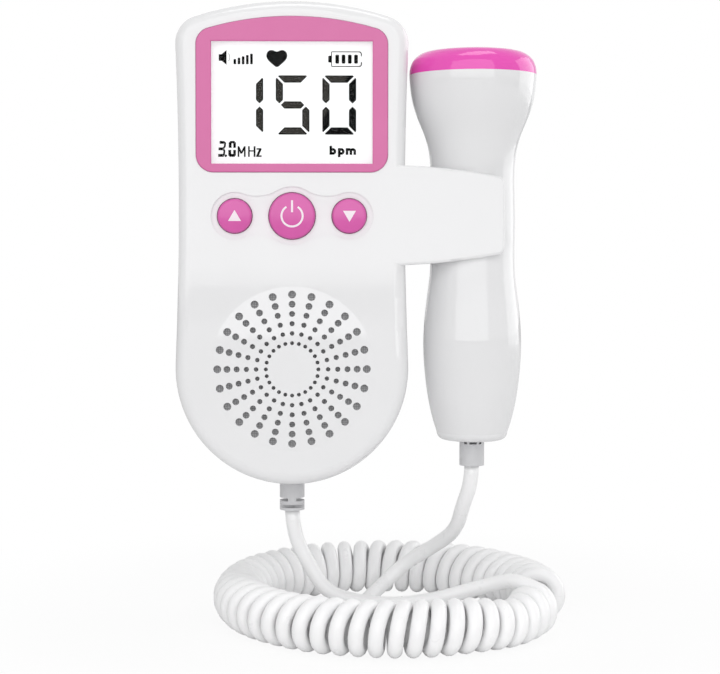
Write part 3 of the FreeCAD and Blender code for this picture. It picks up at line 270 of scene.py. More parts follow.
# silicone rubber in carbon and clear layers
greySiliconeStrip = mouldedPlastic("greySiliconeStrip", {
    "colour": "38383C", "shade": "2C2C30", "driftMm": 1, "ior": 1.41,
    "smooth": 0.5, "rough": 0.6, "smudgeMm": 1, "skinMm": 0.2, "skin": 0.3,
})
# polystyrene light guide, moulded milky
milkyLightGuide = mouldedPlastic("milkyLightGuide", {
    "colour": "F2F3F0", "shade": "ECEDE9", "driftMm": 8, "ior": 1.59,
    "smooth": 0.3, "rough": 0.4, "smudgeMm": 4, "skinMm": 0.4, "skin": 0.2,
})
# polyethylene foam, closed cells
blackFoamGasket = mouldedPlastic("blackFoamGasket", {
    "colour": "202022", "shade": "2A2A2C", "driftMm": 1.5, "ior": 1.50,
    "smooth": 0.8, "rough": 0.95, "smudgeMm": 1, "skinMm": 0.4, "skin": 1.0,
})
# pressed paper pulp, tinted black: matt and fibrous
blackPaperCone = mouldedPlastic("blackPaperCone", {
    "colour": "232322", "shade": "30302E", "driftMm": 1.2, "ior": 1.50,
    "smooth": 0.75, "rough": 0.9, "smudgeMm": 1, "skinMm": 0.3, "skin": 0.9,
})
# ferrite, pressed and sintered: dark, grainy, half dull
sinteredFerrite = mouldedPlastic("sinteredFerrite", {
    "colour": "2E2E31", "shade": "3A3A3D", "driftMm": 2, "ior": 2.3,
    "smooth": 0.45, "rough": 0.6, "smudgeMm": 1, "skinMm": 0.25, "skin": 0.6,
})
# lead zirconate ceramic, fired and thinly silvered
firedPiezoCeramic = mouldedPlastic("firedPiezoCeramic", {
    "colour": "CFC7B4", "shade": "C2B9A5", "driftMm": 3, "ior": 2.0,
    "smooth": 0.35, "rough": 0.5, "smudgeMm": 1, "skinMm": 0.2, "skin": 0.3,
})
# PVC sleeve shrunk round the cell
blueCellSleeve = mouldedPlastic("blueCellSleeve", {
    "colour": "3C4A63", "shade": "35425A", "driftMm": 10, "ior": 1.53,
    "smooth": 0.18, "rough": 0.28, "smudgeMm": 6, "skinMm": 0.8, "skin": 0.2,
})
# steel, cold headed and zinc plated
zincSteelScrew = metalFinish("zincSteelScrew", {
    "colour": "B9BABD", "shade": "A2A3A8", "grain": (1, 1, 1), "grainMm": 0.25, "smooth": 0.22, "rough": 0.40,
})
# spring steel, wound and nickel plated
nickelSpringSteel = metalFinish("nickelSpringSteel", {
    "colour": "D3CFC6", "shade": "BDB8AC", "grain": (1, 1, 1), "grainMm": 0.3, "smooth": 0.16, "rough": 0.30,
})
# aluminium, deep drawn: long marks up the can
drawnAluminiumCan = metalFinish("drawnAluminiumCan", {
    "colour": "D6D7DA", "shade": "BFC0C4", "grain": (6, 0.6, 6), "grainMm": 0.5,
    "smooth": 0.25, "rough": 0.45,
})
# steel, pressed and passivated
pressedSteelBasket = metalFinish("pressedSteelBasket", {
    "colour": "8C8D91", "shade": "77787C", "grain": (1, 1, 1), "grainMm": 0.6, "smooth": 0.35, "rough": 0.55,
})


def solderResistBoard():
    # glass-fibre board, screen printed with green resist: the weave shows through, and copper tracks under it
    look = {
        "colour": "1E5A34", "track": "2C7446", "trackMm": 2.2, "trackShare": 0.12,
        "weaveUnitMm": 18.0,        # one unit of the wave texture, which holds several bands
        "weaveBump": 0.15, "weaveDepthMm": 0.03,
    }
    material, tree, shader = startMaterial("solderResistBoard", {"IOR": 1.52, "Roughness": 0.28})
    point = objectPoint(tree)
    upright = addNode(tree, "ShaderNodeMapping", inputs={"Rotation": (math.radians(90), 0, 0)},
                      links={"Vector": point})
    resist = linearFromHex(look["colour"])
    tracks = addNode(tree, "ShaderNodeTexBrick", links={"Vector": upright.outputs["Vector"]}, inputs={
        "Scale": perMillimetre(look["trackMm"]), "Mortar Size": look["trackShare"],
        "Color1": resist, "Color2": resist, "Mortar": linearFromHex(look["track"]),
    })
    weave = addNode(tree, "ShaderNodeTexWave", {"wave_type": "BANDS", "bands_direction": "DIAGONAL"},
                    {"Scale": perMillimetre(look["weaveUnitMm"])}, {"Vector": point})
    linkShader(tree, shader, {
        "Base Color": tracks.outputs["Color"],
        "Normal": bumpNormal(tree, weave.outputs["Fac"], look["weaveBump"], look["weaveDepthMm"]),
    })
    return material


def wovenDustCloth():
    # polyester monofilament, plain woven: threads over and under, twice life size so that they show
    look = {"thread": "C4C4C5", "gap": "8A8A8C", "threadMm": 0.5, "bump": 0.5, "depthMm": 0.1}
    material, tree, shader = startMaterial("wovenDustCloth", {
        "IOR": 1.57, "Roughness": 0.8, "Sheen Weight": 0.15, "Sheen Roughness": 0.4,
    })
    turns = math.pi / (look["threadMm"] * mm)
    across = addNode(tree, "ShaderNodeSeparateXYZ", links={"Vector": objectPoint(tree)})
    ridges = []
    for axis in ("X", "Z"):
        angle = mathStep(tree, "MULTIPLY", across.outputs[axis], turns)
        ridges.append(mathStep(tree, "ABSOLUTE", mathStep(tree, "SINE", angle)))
    height = mathStep(tree, "MULTIPLY", *ridges)
    linkShader(tree, shader, {
        "Base Color": mixedColour(tree, look["gap"], look["thread"], height),
        "Normal": bumpNormal(tree, height, look["bump"], look["depthMm"]),
    })
    return material


def clearAcrylicLens():
    # acrylic sheet, cast and polished: nearly nothing but a clean reflection and a few hairline scratches
    look = {
        "tint": "3A3C3D", "smooth": 0.03, "rough": 0.12,
        "scratchMm": 3.0, "stretch": (0.2, 1, 4), "slant": 0.6, "scratchSpan": (0.6, 0.8),
    }
    material, tree, shader = startMaterial("clearAcrylicLens", {
        "Base Color": linearFromHex(look["tint"]), "IOR": 1.49, "Alpha": 0.06,
    })
    stretch = addNode(tree, "ShaderNodeMapping", links={"Vector": objectPoint(tree)},
                      inputs={"Scale": look["stretch"], "Rotation": (0, look["slant"], 0)})
    scratches = noiseField(tree, stretch.outputs["Vector"], look["scratchMm"])
    gloss = mappedRange(tree, scratches, look["scratchSpan"], (look["smooth"], look["rough"]))
    linkShader(tree, shader, {"Roughness": gloss})
    return material


def litDisplayGlass():
    # float glass over a white diffuser, lit from behind: faintly cloudy
    look = {"colour": "FCFDFD", "shade": "F0F2F2", "cloudMm": 16, "light": 0.42}
    material, tree, shader = startMaterial("litDisplayGlass", {
        "IOR": 1.52, "Roughness": 0.30, "Emission Strength": look["light"],
    })
    cloud = noiseField(tree, objectPoint(tree), look["cloudMm"])
    colour = mixedColour(tree, look["colour"], look["shade"], cloud)
    linkShader(tree, shader, {"Base Color": colour, "Emission Color": colour})
    return material


def crystalWithPaintedGlare():
    # liquid crystal, switched dark, with a painted reflection of a lamp: charcoal where the reflection is
    # painted, and full black past its slanting edge
    look = {
        "glareCharcoal": "43413D", "shade": "383632", "cloudMm": 2.5,
        "black": "060606", "edge": (12.15, 41.1), "slope": 60.0, "softMm": 0.35,
    }
    material, tree, shader = startMaterial("liquidCrystalPaintedGlare", {
        "IOR": 1.33, "Roughness": 0.42, "Specular IOR Level": 0.0,
    })
    slant = math.radians(look["slope"])
    across = Vector((math.sin(slant), 0, -math.cos(slant)))
    start = across.x * look["edge"][0] + across.z * look["edge"][1]
    point = objectPoint(tree)
    reach = addNode(tree, "ShaderNodeVectorMath", {"operation": "DOT_PRODUCT"}, {1: across}, {0: point})
    # the mask ends the painted reflection at the slanting edge; past it the crystal is full black
    pastGlare = mappedRange(tree, reach.outputs["Value"], (start * mm, (start + look["softMm"]) * mm), (0.0, 1.0))
    cloud = noiseField(tree, point, look["cloudMm"])
    glareTone = mixedColour(tree, look["glareCharcoal"], look["shade"], cloud)
    colour = addNode(tree, "ShaderNodeMix", {"data_type": "RGBA"}, {"B": linearFromHex(look["black"])},
                     {"A": glareTone, "Factor": pastGlare})
    linkShader(tree, shader, {"Base Color": colour.outputs["Result"]})
    return material


displayGlass = litDisplayGlass()
acrylicLens = clearAcrylicLens()
dustCloth = wovenDustCloth()
boardFinish = solderResistBoard()
# liquid crystal, switched fully dark: inside the glass, so it has no shine of its own
blackCrystal = mouldedPlastic("blackLiquidCrystal", {
    "colour": "060606", "shade": "0A0A0A", "driftMm": 4, "ior": 1.33, "shine": 0.0,
    "smooth": 0.40, "rough": 0.46, "smudgeMm": 3, "skinMm": 0.5, "skin": 0.02,
})
# liquid crystal between two strengths: pale grey
faintCrystal = mouldedPlastic("faintLiquidCrystal", {
    "colour": "C6C6C6", "shade": "CECECE", "driftMm": 4, "ior": 1.33, "shine": 0.0,
    "smooth": 0.40, "rough": 0.46, "smudgeMm": 3, "skinMm": 0.5, "skin": 0.02,
})
# painted reflection of a lamp on the lens, laid over the middles of the reading's bars
paintedGlareCrystal = crystalWithPaintedGlare()
# white ink, pad printed: thin and slightly matt
whitePadInk = mouldedPlastic("whitePadInk", {
    "colour": "FBEFF6", "shade": "F6E6F0", "driftMm": 2, "ior": 1.50,
    "smooth": 0.35, "rough": 0.45, "smudgeMm": 1, "skinMm": 0.2, "skin": 0.2,
})

nodeFinishes = {
    "front_shell": whiteAbsCase,
    "rear_shell": whiteAbsCase,
    "battery_cover": whiteAbsCase,
    "screen_bezel": pinkAbsBezel,
    "screen_lens": acrylicLens,
    "lcd_glass": displayGlass,
    "lcd_backlight": milkyLightGuide,
    "lcd_connector": greySiliconeStrip,
    "main_board": boardFinish,
    "board_chips": blackEpoxyChip,
    "board_capacitors": drawnAluminiumCan,
    "board_screws": zincSteelScrew,
    "case_screws": zincSteelScrew,
    "tact_switches": blackNylon,
    "up_button": pinkAbsButton,
    "power_button": pinkAbsButton,
    "down_button": pinkAbsButton,
    "up_switch_stem": blackNylon,
    "power_switch_stem": blackNylon,
    "down_switch_stem": blackNylon,
    "speaker_frame": pressedSteelBasket,
    "speaker_cone": blackPaperCone,
    "speaker_magnet": sinteredFerrite,
    "speaker_gasket": blackFoamGasket,
    "speaker_cloth": dustCloth,
    "battery_cells": blueCellSleeve,
    "battery_springs": nickelSpringSteel,
    "battery_plates": nickelSpringSteel,
    "earphone_jack": blackNylon,
    "monitor_strain_relief": greyPvcGland,
    "probe_front_shell": whiteAbsProbe,
    "probe_rear_shell": whiteAbsProbe,
    "probe_face_cap": pinkAbsFace,
    "piezo_crystals": firedPiezoCeramic,
    "crystal_holder": blackNylon,
    "probe_board": boardFinish,
    "probe_screws": zincSteelScrew,
    "probe_strain_relief": greyPvcGland,
}
for node, finish in nodeFinishes.items():
    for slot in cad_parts[node].material_slots:
        slot.material = finish
print("finishes given to", len(nodeFinishes), "nodes")


# curly cord

cordLook = {
    "diameter": 4.2,
    "sides": 14,
    "steps": 4,                 # line points between two control points
    "monitorLead": [
        (0.0, -14.5, -76.3), (0.3, -14.5, -83.4), (4.6, -15.2, -91.8), (9.4, -16.6, -99.8),
        (18.6, -19.6, -102.3), (30.5, -22.0, -102.6), (42.0, -21.4, -101.0), (52.0, -21.0, -98.2),
        (58.0, -23.0, -96.2), (62.6, -26.6, -94.6),
    ],
    "ringCentre": (28.1, -11.9, -101.5),
    "ringRadius": 43.35,
    "turnRadius": 5.7,
    "turns": 50.5,
    "turnPoints": 16,
    "uneven": (0.018, 7.3, 2.1),  # share by which the turns differ, and the two waves that it follows
    "startAngle": -25.0,        # seen from above, where the coil begins
    "sweep": 338.0,
    "crowding": 0.07,           # how much closer the turns lie in front than behind
    "sunk": (2.4, 0.34, 0.22),  # depth, middle and spread in radians of the turns pressed down by the lead
    "lean": 4.5,                # how far the feet of the rear turns lean in
    "skew": 0.02,               # radians by which the outside of each turn runs ahead of its middle
    "probeLead": [
        (66.2, -15.4, -107.1), (58.6, -18.6, -107.0), (49.6, -21.6, -107.0), (39.6, -23.6, -107.0),
        (30.2, -22.6, -107.0), (23.2, -17.6, -107.0), (19.6, -9.4, -106.9), (21.8, -0.6, -105.9),
        (28.0, 5.8, -101.8), (34.0, 7.2, -96.4), (42.0, 0.8, -90.2), (48.0, -7.5, -84.0),
        (49.4, -12.8, -75.6), (51.6, -14.5, -69.0), (51.75, -14.5, -63.7),
    ],
}


def coilPoints(look):
    # each turn goes over the top, down the outside and back underneath, clockwise round the ring
    points = []
    centre = Vector(look["ringCentre"])
    first = math.radians(look["startAngle"])
    sweep = math.radians(look["sweep"])
    depth, middle, spread = look["sunk"]
    share, quick, slow = look["uneven"]
    whole = sweep + look["crowding"] * (math.cos(first) - math.cos(first - sweep))
    count = round(look["turns"] * look["turnPoints"])
    for i in range(count + 1):
        swept = sweep * i / count
        around = first - swept
        packed = swept + look["crowding"] * (math.cos(first) - math.cos(around))
        turn = math.radians(90 - 360 * look["turns"] * packed / whole)
        loose = 1 - share * (1 + math.sin(quick * around) * math.sin(slow * around + 1))
        pressed = depth * math.exp(-((swept - middle) / spread) ** 2) / 2
        radius = look["turnRadius"] * loose - pressed
        lean = look["lean"] * max(0.0, math.sin(around)) * (1 - math.sin(turn)) / 2
        reach = look["ringRadius"] + pressed + radius * math.cos(turn) - lean
        rise = radius * math.sin(turn) - pressed
        ahead = around - look["skew"] * math.cos(turn)
        points.append(centre + Vector((reach * math.cos(ahead), reach * math.sin(ahead), rise)))
    return points


def splineLine(points, steps):
    # the points that a NURBS spline runs through, read from Blender's own curve
    data = bpy.data.curves.new("route", "CURVE")
    data.dimensions = "3D"
    data.resolution_u = steps
    spline = data.splines.new("NURBS")
    spline.points.add(len(points) - 1)
    for place, point in zip(spline.points, points):
        place.co = (*(Vector(point) * mm), 1.0)
    spline.order_u = 3
    spline.use_endpoint_u = True
    holder = bpy.data.objects.new("route", data)
    mesh = bpy.data.meshes.new_from_object(holder)
    line = [vertex.co.copy() for vertex in mesh.vertices]
    bpy.data.meshes.remove(mesh)
    bpy.data.objects.remove(holder)
    bpy.data.curves.remove(data)
    return line


def tubeAlong(line, radius, sides):
    # rings of points carried along the line without twisting
    points = []
    faces = []
    heading = (line[1] - line[0]).normalized()
    side = heading.orthogonal().normalized()
    for i, place in enumerate(line):
        before = line[max(i - 1, 0)]
        after = line[min(i + 1, len(line) - 1)]
        ahead = (after - before).normalized()
        side = (side - ahead * side.dot(ahead)).normalized()
        up = ahead.cross(side)
        for j in range(sides):
            angle = 2 * math.pi * j / sides
            points.append((place + (side * math.cos(angle) + up * math.sin(angle)) * radius) / mm)
    for i in range(len(line) - 1):
        for j in range(sides):
            k = (j + 1) % sides
            faces.append((i * sides + j, i * sides + k, (i + 1) * sides + k, (i + 1) * sides + j))
    faces.append(tuple(range(sides)))
    faces.append(tuple((len(line) - 1) * sides + j for j in range(sides)))
    return points, faces


cordRoute = cordLook["monitorLead"] + coilPoints(cordLook) + cordLook["probeLead"]
cordLine = splineLine(cordRoute, cordLook["steps"])
cordPoints, cordFaces = tubeAlong(cordLine, cordLook["diameter"] / 2 * mm, cordLook["sides"])
curlyCord = meshPiece("curly_cord", cordPoints, cordFaces, whitePolyurethaneCord, None)
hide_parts("monitor_lead", "cord_coil", "probe_lead")
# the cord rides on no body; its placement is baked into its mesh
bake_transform(curlyCord)


# marks on the display

displayLook = {
    "face": -27.2,            # front of the display glass
    "film": 0.05,             # height of the marks on it
    "digitTop": 46.75,
    "digitBottom": 30.35,
    "stroke": 2.0,
    "gap": 0.42,
    "rim": 0.26,              # black edge left round the painted reflection in the middle of each bar
    "digits": ((-17.4, -8.0, "bc"), (-4.5, 4.85, "afgcd"), (8.45, 17.85, "abcdef")),  # left, right, dark bars
    "heart": ((-4.2, 51.4), 5.8, 4.7),                      # centre, width and height
    "soundWaves": ((-19.0, 51.7), 1.75, 0.22, -38, 38, 10),  # centre, radius, width, angles and steps
}


def digitShapes(look, left, right, lit):
    # the seven bars of a digit, mitred where they meet; lit names those that are dark
    bottom, top, stroke, gap = (look[key] for key in ("digitBottom", "digitTop", "stroke", "gap"))
    middle = (bottom + top) / 2
    half = stroke / 2
    nick = stroke / 8
    shapes = {}
    for name, edge, inward in (("a", top, -1), ("d", bottom, 1)):
        shapes[name] = [
            (left + gap + 2 * nick, edge), (right - gap - 2 * nick, edge),
            (right - gap - nick, edge + inward * nick), (right - gap - stroke, edge + inward * stroke),
            (left + gap + stroke, edge + inward * stroke), (left + gap + nick, edge + inward * nick),
        ]
    for name, x, inward, edge, down in (("f", left, 1, top, -1), ("b", right, -1, top, -1),
                                        ("e", left, 1, bottom, 1), ("c", right, -1, bottom, 1)):
        shapes[name] = [
            (x, edge + down * (gap + 2 * nick)), (x, middle - down * (half + gap)),
            (x + inward * half, middle - down * gap), (x + inward * stroke, middle - down * (half + gap)),
            (x + inward * stroke, edge + down * (stroke + gap)),
            (x + inward * nick, edge + down * (gap + nick)),
        ]
    shapes["g"] = [
        (left + half + gap, middle), (left + stroke + gap, middle + half),
        (right - stroke - gap, middle + half), (right - half - gap, middle),
        (right - stroke - gap, middle - half), (left + stroke + gap, middle - half),
    ]
    return [shapes[name] for name in lit]


def insetShape(shape, rim):
    # the same convex outline, drawn in by one distance
    corners = [Vector(corner) for corner in shape]
    middle = sum(corners, Vector((0, 0))) / len(corners)
    lines = []
    for start, end in zip(corners, corners[1:] + corners[:1]):
        along = (end - start).normalized()
        across = Vector((-along.y, along.x))
        if across.dot(middle - start) < 0:
            across = -across
        lines.append((start + across * rim, along))
    inner = []
    for (a, u), (b, v) in zip(lines, lines[1:] + lines[:1]):
        share = (b - a).cross(v) / u.cross(v)
        inner.append(tuple(a + u * share))
    return inner


def barShape(start, end, width):
    along = (Vector(end) - Vector(start)).normalized()
    across = Vector((-along.y, along.x)) * width / 2
    corners = (Vector(start) + across, Vector(end) + across, Vector(end) - across, Vector(start) - across)
    return [tuple(corner) for corner in corners]


def blockShape(left, right, bottom, top):
    return [(left, bottom), (right, bottom), (right, top), (left, top)]


def roundedBlock(left, right, bottom, top, radius, steps=4):
    shape = []
    for x, z, start in ((right - radius, top - radius, 0), (left + radius, top - radius, 90),
                        (left + radius, bottom + radius, 180), (right - radius, bottom + radius, 270)):
        for i in range(steps + 1):
            angle = math.radians(start + 90 * i / steps)
            shape.append((x + radius * math.cos(angle), z + radius * math.sin(angle)))
    return shape


def arcShapes(centre, radius, width, start, end, steps):
    # a band of short blocks round a centre, angles in degrees from +X
    shapes = []
    inner, outer = radius - width / 2, radius + width / 2
    for i in range(steps):
        a = math.radians(start + (end - start) * i / steps)
        b = math.radians(start + (end - start) * (i + 1) / steps)
        ring = []
        for angle, r in ((a, inner), (b, inner), (b, outer), (a, outer)):
            ring.append((centre[0] + r * math.cos(angle), centre[1] + r * math.sin(angle)))
        shapes.append(ring)
    return shapes


def heartShape(centre, width, height, steps=40):
    # a full heart with a shallow notch and a blunt tip, fitted to a width and a height
    waves = (13, -3, -1.3, -0.6)
    raw = []
    for i in range(steps):
        t = 2 * math.pi * i / steps
        rise = sum(wave * math.cos((k + 1) * t) for k, wave in enumerate(waves))
        raw.append(((math.sin(t) ** 3 + math.sin(t)) / 4, rise))
    low = min(z for x, z in raw)
    high = max(z for x, z in raw)
    middle = (low + high) / 2
    return [(centre[0] + x * width, centre[1] + (z - middle) / (high - low) * height) for x, z in raw]


def flatMarks(name, shapes, faceY, film, material):
    # thin flat pieces standing on the display, which looks along -Y
    points = []
    faces = []
    for shape in shapes:
        n = len(shape)
        base = len(points)
        points += [(x, faceY - film, z) for x, z in shape] + [(x, faceY, z) for x, z in shape]
        faces.append(tuple(range(base, base + n)))
        faces.append(tuple(range(base + 2 * n - 1, base + n - 1, -1)))
        for i in range(n):
            j = (i + 1) % n
            faces.append((base + i, base + j, base + n + j, base + n + i))
    meshPiece(name, points, faces, material, "monitor", smooth=False)


def volumeShapes():
    # a loudspeaker with five rising bars
    look = {
        "box": (-20.3, -19.5, 50.75, 52.55), "horn": (-18.15, 49.65, 53.7),
        "bars": 5, "firstBar": -16.2, "pitch": 1.155, "barWidth": 0.70, "barCorner": 0.14,
        "barBottom": 49.8, "firstTop": 51.25, "rise": 0.37,
    }
    left, neck, low, high = look["box"]
    mouth, bottom, top = look["horn"]
    shapes = [blockShape(left, neck, low, high), [(neck, low), (mouth, bottom), (mouth, top), (neck, high)]]
    for i in range(look["bars"]):
        x = look["firstBar"] + look["pitch"] * i
        barTop = look["firstTop"] + look["rise"] * i
        shapes.append(roundedBlock(x, x + look["barWidth"], look["barBottom"], barTop, look["barCorner"]))
    return shapes


def batteryShapes():
    # a cell with four bars; its outline is open at the right end
    look = {
        "left": 11.0, "right": 19.3, "bottom": 49.25, "top": 53.3,
        "line": 0.22, "bold": 1.3, "bend": 0.65, "bendSteps": 6, "bracket": 0.55,
        "nub": (10.1, 11.1, 50.35, 52.2, 0.2),
        "bars": 4, "firstBar": 12.08, "pitch": 1.74, "barWidth": 1.02, "barRise": (50.05, 52.5),
        "barCorner": 0.3,
    }
    left, right, bottom, top = look["left"], look["right"], look["bottom"], look["top"]
    half = look["line"] / 2
    thick = half * look["bold"]
    bend = look["bend"]
    bracket = bend + look["bracket"]
    shapes = [
        blockShape(left, right - bend, top - half, top + half),
        blockShape(left, right - bend, bottom - half, bottom + half),
        blockShape(left - half, left + half, bottom + half, top - half),
        blockShape(right - thick, right + thick, top - bracket, top - bend),
        blockShape(right - thick, right + thick, bottom + bend, bottom + bracket),
        roundedBlock(*look["nub"]),
    ]
    for z, start in ((top - bend, 0), (bottom + bend, 270)):
        shapes += arcShapes((right - bend, z), bend, thick * 2, start, start + 90, look["bendSteps"])
    for i in range(look["bars"]):
        x = look["firstBar"] + look["pitch"] * i
        shapes.append(roundedBlock(x, x + look["barWidth"], *look["barRise"], look["barCorner"]))
    return shapes


def frequencyShapes():
    # 3.0 MHz in the display's small segments: the long bars are bold and the slanted ones thin
    look = {"bottom": 24.15, "top": 28.55, "bold": 0.80, "thin": 0.50, "capital": 27.1, "small": 26.55}
    low, high, bold, thin = look["bottom"], look["top"], look["bold"], look["thin"]
    capital, small = look["capital"], look["small"]
    middle = (low + high) / 2
    three = [
        blockShape(-20.1, -18.95, high - bold, high),
        blockShape(-20.4, -19.1, middle - bold / 2, middle + bold / 2),
        blockShape(-20.5, -18.95, low, low + bold),
        barShape((-19.0, high - 0.2), (-18.55, high - 0.65), thin),
        barShape((-18.55, high - 0.5), (-18.7, middle + 0.55), thin),
        barShape((-18.7, middle + 0.6), (-19.1, middle + 0.15), thin),
        barShape((-19.0, middle - 0.1), (-18.75, middle - 0.6), thin),
        barShape((-18.75, middle - 0.5), (-18.95, low + 0.4), thin),
    ]
    point = [barShape((-18.6, low + 0.5), (-18.2, low + 0.1), bold * 0.8)]
    left, right = -17.7, -15.6
    zero = [
        roundedBlock(left + 0.45, right - 0.3, high - bold * 0.8, high, 0.2),
        roundedBlock(left + 0.25, right - 0.25, low, low + bold, 0.2),
    ]
    for bottom, top, lean in ((middle + 0.3, high - 0.35, 0.12), (low + 0.35, middle - 0.3, 0.0)):
        zero.append(blockShape(left + lean, left + lean + bold, bottom, top))
        zero.append(blockShape(right - bold * 0.9, right, bottom, top))
    mega = [
        blockShape(-15.1, -14.65, low, capital),
        blockShape(-13.35, -12.9, low, capital),
        barShape((-14.85, capital - 0.2), (-14.1, low + 0.95), thin),
        barShape((-13.15, capital - 0.2), (-14.1, low + 0.95), thin),
    ]
    hertz = [
        blockShape(-12.2, -11.75, low, capital),
        blockShape(-10.65, -10.15, low, capital),
        blockShape(-11.8, -10.6, (low + capital) / 2, (low + capital) / 2 + 0.35),
        blockShape(-9.85, -8.5, small - 0.4, small),
        blockShape(-9.95, -8.45, low, low + 0.4),
        barShape((-8.75, small - 0.2), (-9.65, low + 0.2), bold * 0.8),
    ]
    return three + point + zero + mega + hertz


def unitShapes():
    # beats per minute in bold letters, drawn from bars and rings
    look = {
        "b": 10.45, "p": 12.78, "m": 14.97, "width": 2.86, "stroke": 0.70, "ringSteps": 28,
        "base": 24.75, "height": 1.85, "above": 27.25, "below": 24.1,
    }
    base, height, stroke = look["base"], look["height"], look["stroke"]
    ring = (height - stroke) / 2
    span = (look["width"] - stroke) / 4
    arch = base + height - span - stroke / 2
    shapes = [
        blockShape(look["b"], look["b"] + stroke, base, look["above"]),
        blockShape(look["p"], look["p"] + stroke, look["below"], base + height),
        blockShape(look["m"], look["m"] + stroke, base, base + height),
    ]
    for left in (look["b"], look["p"]):
        middle = (left + height / 2, base + height / 2)
        shapes += arcShapes(middle, ring, stroke, 0, 360, look["ringSteps"])
    for i in range(2):
        left = look["m"] + 2 * span * i
        middle = (left + stroke / 2 + span, arch)
        shapes += arcShapes(middle, span, stroke, 0, 180, look["ringSteps"] // 2)
        shapes.append(blockShape(left + 2 * span, left + 2 * span + stroke, base, arch))
    return shapes


face, film = displayLook["face"], displayLook["film"]
reading = []
for left, right, lit in displayLook["digits"]:
    reading += digitShapes(displayLook, left, right, lit)
# each bar's middle carries a painted reflection of a lamp, charcoal up to a slanting edge and black past it
glareInsets = [insetShape(bar, displayLook["rim"]) for bar in reading]
displayMarks = [
    ("display_reading", reading, face, film, blackCrystal),
    ("display_reading_painted_glare", glareInsets, face - film, film / 2, paintedGlareCrystal),
    ("display_heart", [heartShape(*displayLook["heart"])], face, film, blackCrystal),
    ("display_volume", volumeShapes(), face, film, blackCrystal),
    ("display_sound_waves", arcShapes(*displayLook["soundWaves"]), face, film, faintCrystal),
    ("display_battery", batteryShapes(), face, film, blackCrystal),
    ("display_frequency", frequencyShapes(), face, film, blackCrystal),
    ("display_unit", unitShapes(), face, film, blackCrystal),
]
for mark in displayMarks:
    flatMarks(*mark)
print("display marked")


# symbols on the buttons

symbolLook = {
    "film": 0.03,
    "rim": -29.9,             # y of a button's rim
    "dome": 0.5,
    "centreZ": 7.7,
    "spacing": 15.9,
    "sideRadius": 4.75,
    "powerRadius": 6.4,
    "arrow": (1.8, 1.66, 1.41),     # half width, rise and drop of a triangle
    "ring": (2.93, 0.55),           # middle radius and stroke of the power ring
    "ringOpening": 32.0,            # degrees each side of its bar
    "ringSteps": 44,
    "bar": (0.28, 1.0, 4.32),       # half width, bottom and top
    "cuts": 3,
}


def domeY(distance, radius):
    # y of a button's domed face at a distance from its middle
    ball = (radius ** 2 + symbolLook["dome"] ** 2) / (2 * symbolLook["dome"])
    return symbolLook["rim"] - symbolLook["dome"] + ball - math.sqrt(ball ** 2 - distance ** 2)


def printOnDome(name, shapes, centreX, radius, body):
    # each flat shape is cut fine and laid on the dome
    bm = bmesh.new()
    for shape in shapes:
        bm.faces.new([bm.verts.new((x, 0, z)) for x, z in shape])
    bmesh.ops.triangulate(bm, faces=bm.faces)
    bmesh.ops.subdivide_edges(bm, edges=bm.edges, cuts=symbolLook["cuts"], use_grid_fill=True)
    for vertex in bm.verts:
        x, z = vertex.co.x, vertex.co.z
        y = domeY(math.hypot(x, z), radius) - symbolLook["film"]
        vertex.co = Vector((centreX + x, y, symbolLook["centreZ"] + z)) * mm
    for face in bm.faces:
        face.normal_update()
        if face.normal.y > 0:
            face.normal_flip()
    mesh = bpy.data.meshes.new(name)
    bm.to_mesh(mesh)
    bm.free()
    placePiece(name, mesh, whitePadInk, body)


halfWidth, rise, drop = symbolLook["arrow"]
printOnDome("up_symbol", [[(-halfWidth, -drop), (halfWidth, -drop), (0, rise)]], -symbolLook["spacing"],
            symbolLook["sideRadius"], "up_button")
printOnDome("down_symbol", [[(-halfWidth, drop), (0, -rise), (halfWidth, drop)]], symbolLook["spacing"],
            symbolLook["sideRadius"], "down_button")
opening = symbolLook["ringOpening"]
barHalf, barBottom, barTop = symbolLook["bar"]
powerShapes = arcShapes((0, 0), *symbolLook["ring"], 90 + opening, 450 - opening, symbolLook["ringSteps"])
powerShapes.append(blockShape(-barHalf, barHalf, barBottom, barTop))
printOnDome("power_symbol", powerShapes, 0.0, symbolLook["powerRadius"], "power_button")
print("buttons printed")


# floor, light and background

stageLook = {
    "floorMiddle": (28.1, -11.9, -109.3),
    "floorHalf": 6000,
    "floorColour": "F6F6F6",
    "background": "FFFFFF",
    "ambient": 0.42,
    "shadowShare": 0.08,          # how much of the shadow is seen below the cord
    "shadowReach": (0.07, 0.17),  # metres from the middle over which the shadow fades out
}


def paintedFloor(look):
    # painted board: its own colour for the light, and white for the eye but for some shadow near the middle
    material = bpy.data.materials.new("paintedFloor")
    tree = emptyTree(material)
    paint = addNode(tree, "ShaderNodeBsdfDiffuse", inputs={"Color": linearFromHex(look["floorColour"])})
    glow = addNode(tree, "ShaderNodeEmission",
                   inputs={"Color": linearFromHex(look["background"]), "Strength": 1.0})
    reach = addNode(tree, "ShaderNodeVectorMath", {"operation": "LENGTH"}, links={0: objectPoint(tree)})
    near, far = look["shadowReach"]
    whiteness = addNode(tree, "ShaderNodeMapRange", {"interpolation_type": "SMOOTHSTEP"},
                        {"From Min": near, "From Max": far, "To Min": 1 - look["shadowShare"], "To Max": 1.0},
                        {"Value": reach.outputs["Value"]})
    ray = addNode(tree, "ShaderNodeLightPath")
    share = mathStep(tree, "MULTIPLY", ray.outputs["Is Camera Ray"], whiteness.outputs["Result"])
    mix = addNode(tree, "ShaderNodeMixShader",
                  links={"Fac": share, 1: paint.outputs["BSDF"], 2: glow.outputs["Emission"]})
    addNode(tree, "ShaderNodeOutputMaterial", links={"Surface": mix.outputs["Shader"]})
    return material


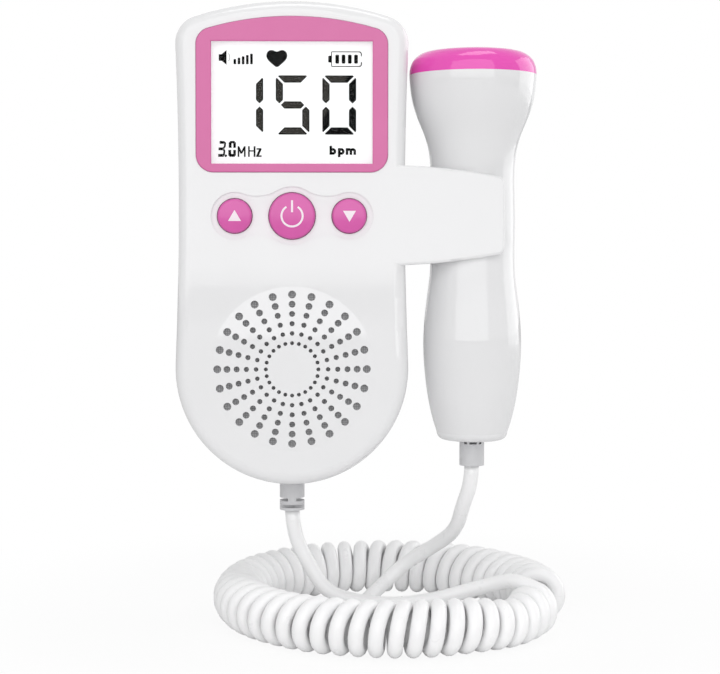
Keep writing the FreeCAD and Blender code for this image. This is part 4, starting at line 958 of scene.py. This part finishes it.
half = stageLook["floorHalf"]
floor = meshPiece("floor", [(-half, -half, 0), (half, -half, 0), (half, half, 0), (-half, half, 0)],
                  [(0, 1, 2, 3)], paintedFloor(stageLook), None, smooth=False)
floor.location = Vector(stageLook["floorMiddle"]) * mm

# a white world for the eye, reflections and clear plastic, and a dimmer one for the rest
world = bpy.data.worlds.new("studio")
scene.world = world
tree = emptyTree(world)
ray = addNode(tree, "ShaderNodeLightPath")
seen = ray.outputs["Is Camera Ray"]
for kind in ("Is Glossy Ray", "Is Transmission Ray"):
    seen = mathStep(tree, "ADD", seen, ray.outputs[kind], clamp=True)
strength = mappedRange(tree, seen, (0.0, 1.0), (stageLook["ambient"], 1.0))
sky = addNode(tree, "ShaderNodeBackground", inputs={"Color": linearFromHex(stageLook["background"])},
              links={"Strength": strength})
addNode(tree, "ShaderNodeOutputWorld", links={"Surface": sky.outputs["Background"]})

lampLooks = {
    "front_softbox": {
        "place": (-0.32, -1.9, 0.84), "aim": (-0.32, 0, 0.84), "size": (3.16, 1.8), "power": 24.5,
    },
    "right_softbox": {
        "place": (1.2, 0.45, 0.3), "aim": (0.03, 0, 0), "size": (1.2, 1.0), "power": 5.5,
    },
    "top_softbox": {
        "place": (0.1, -0.1, 1.2), "aim": (0.03, 0, 0), "size": (0.9, 0.4), "power": 3.0,
    },
    "cord_spot": {
        "place": (0.03, -1.0, 0.75), "aim": (0.03, 0, -0.63), "size": 0.03, "power": 4.0,
        "cone": 28.0, "edge": 0.04,
    },
}
for name, look in lampLooks.items():
    lamp = bpy.data.lights.new(name, "SPOT" if "cone" in look else "AREA")
    lamp.energy = look["power"]
    if "cone" in look:
        lamp.spot_size = math.radians(look["cone"])
        lamp.spot_blend = look["edge"]
        lamp.shadow_soft_size = look["size"]
    else:
        lamp.shape = "RECTANGLE"
        lamp.size, lamp.size_y = look["size"]
    holder = bpy.data.objects.new(name, lamp)
    holder.location = look["place"]
    aim = Vector(look["aim"]) - Vector(look["place"])
    holder.rotation_euler = aim.to_track_quat("-Z", "Y").to_euler()
    scene.collection.objects.link(holder)
scene.view_settings.view_transform = "Standard"
print("stage lit")
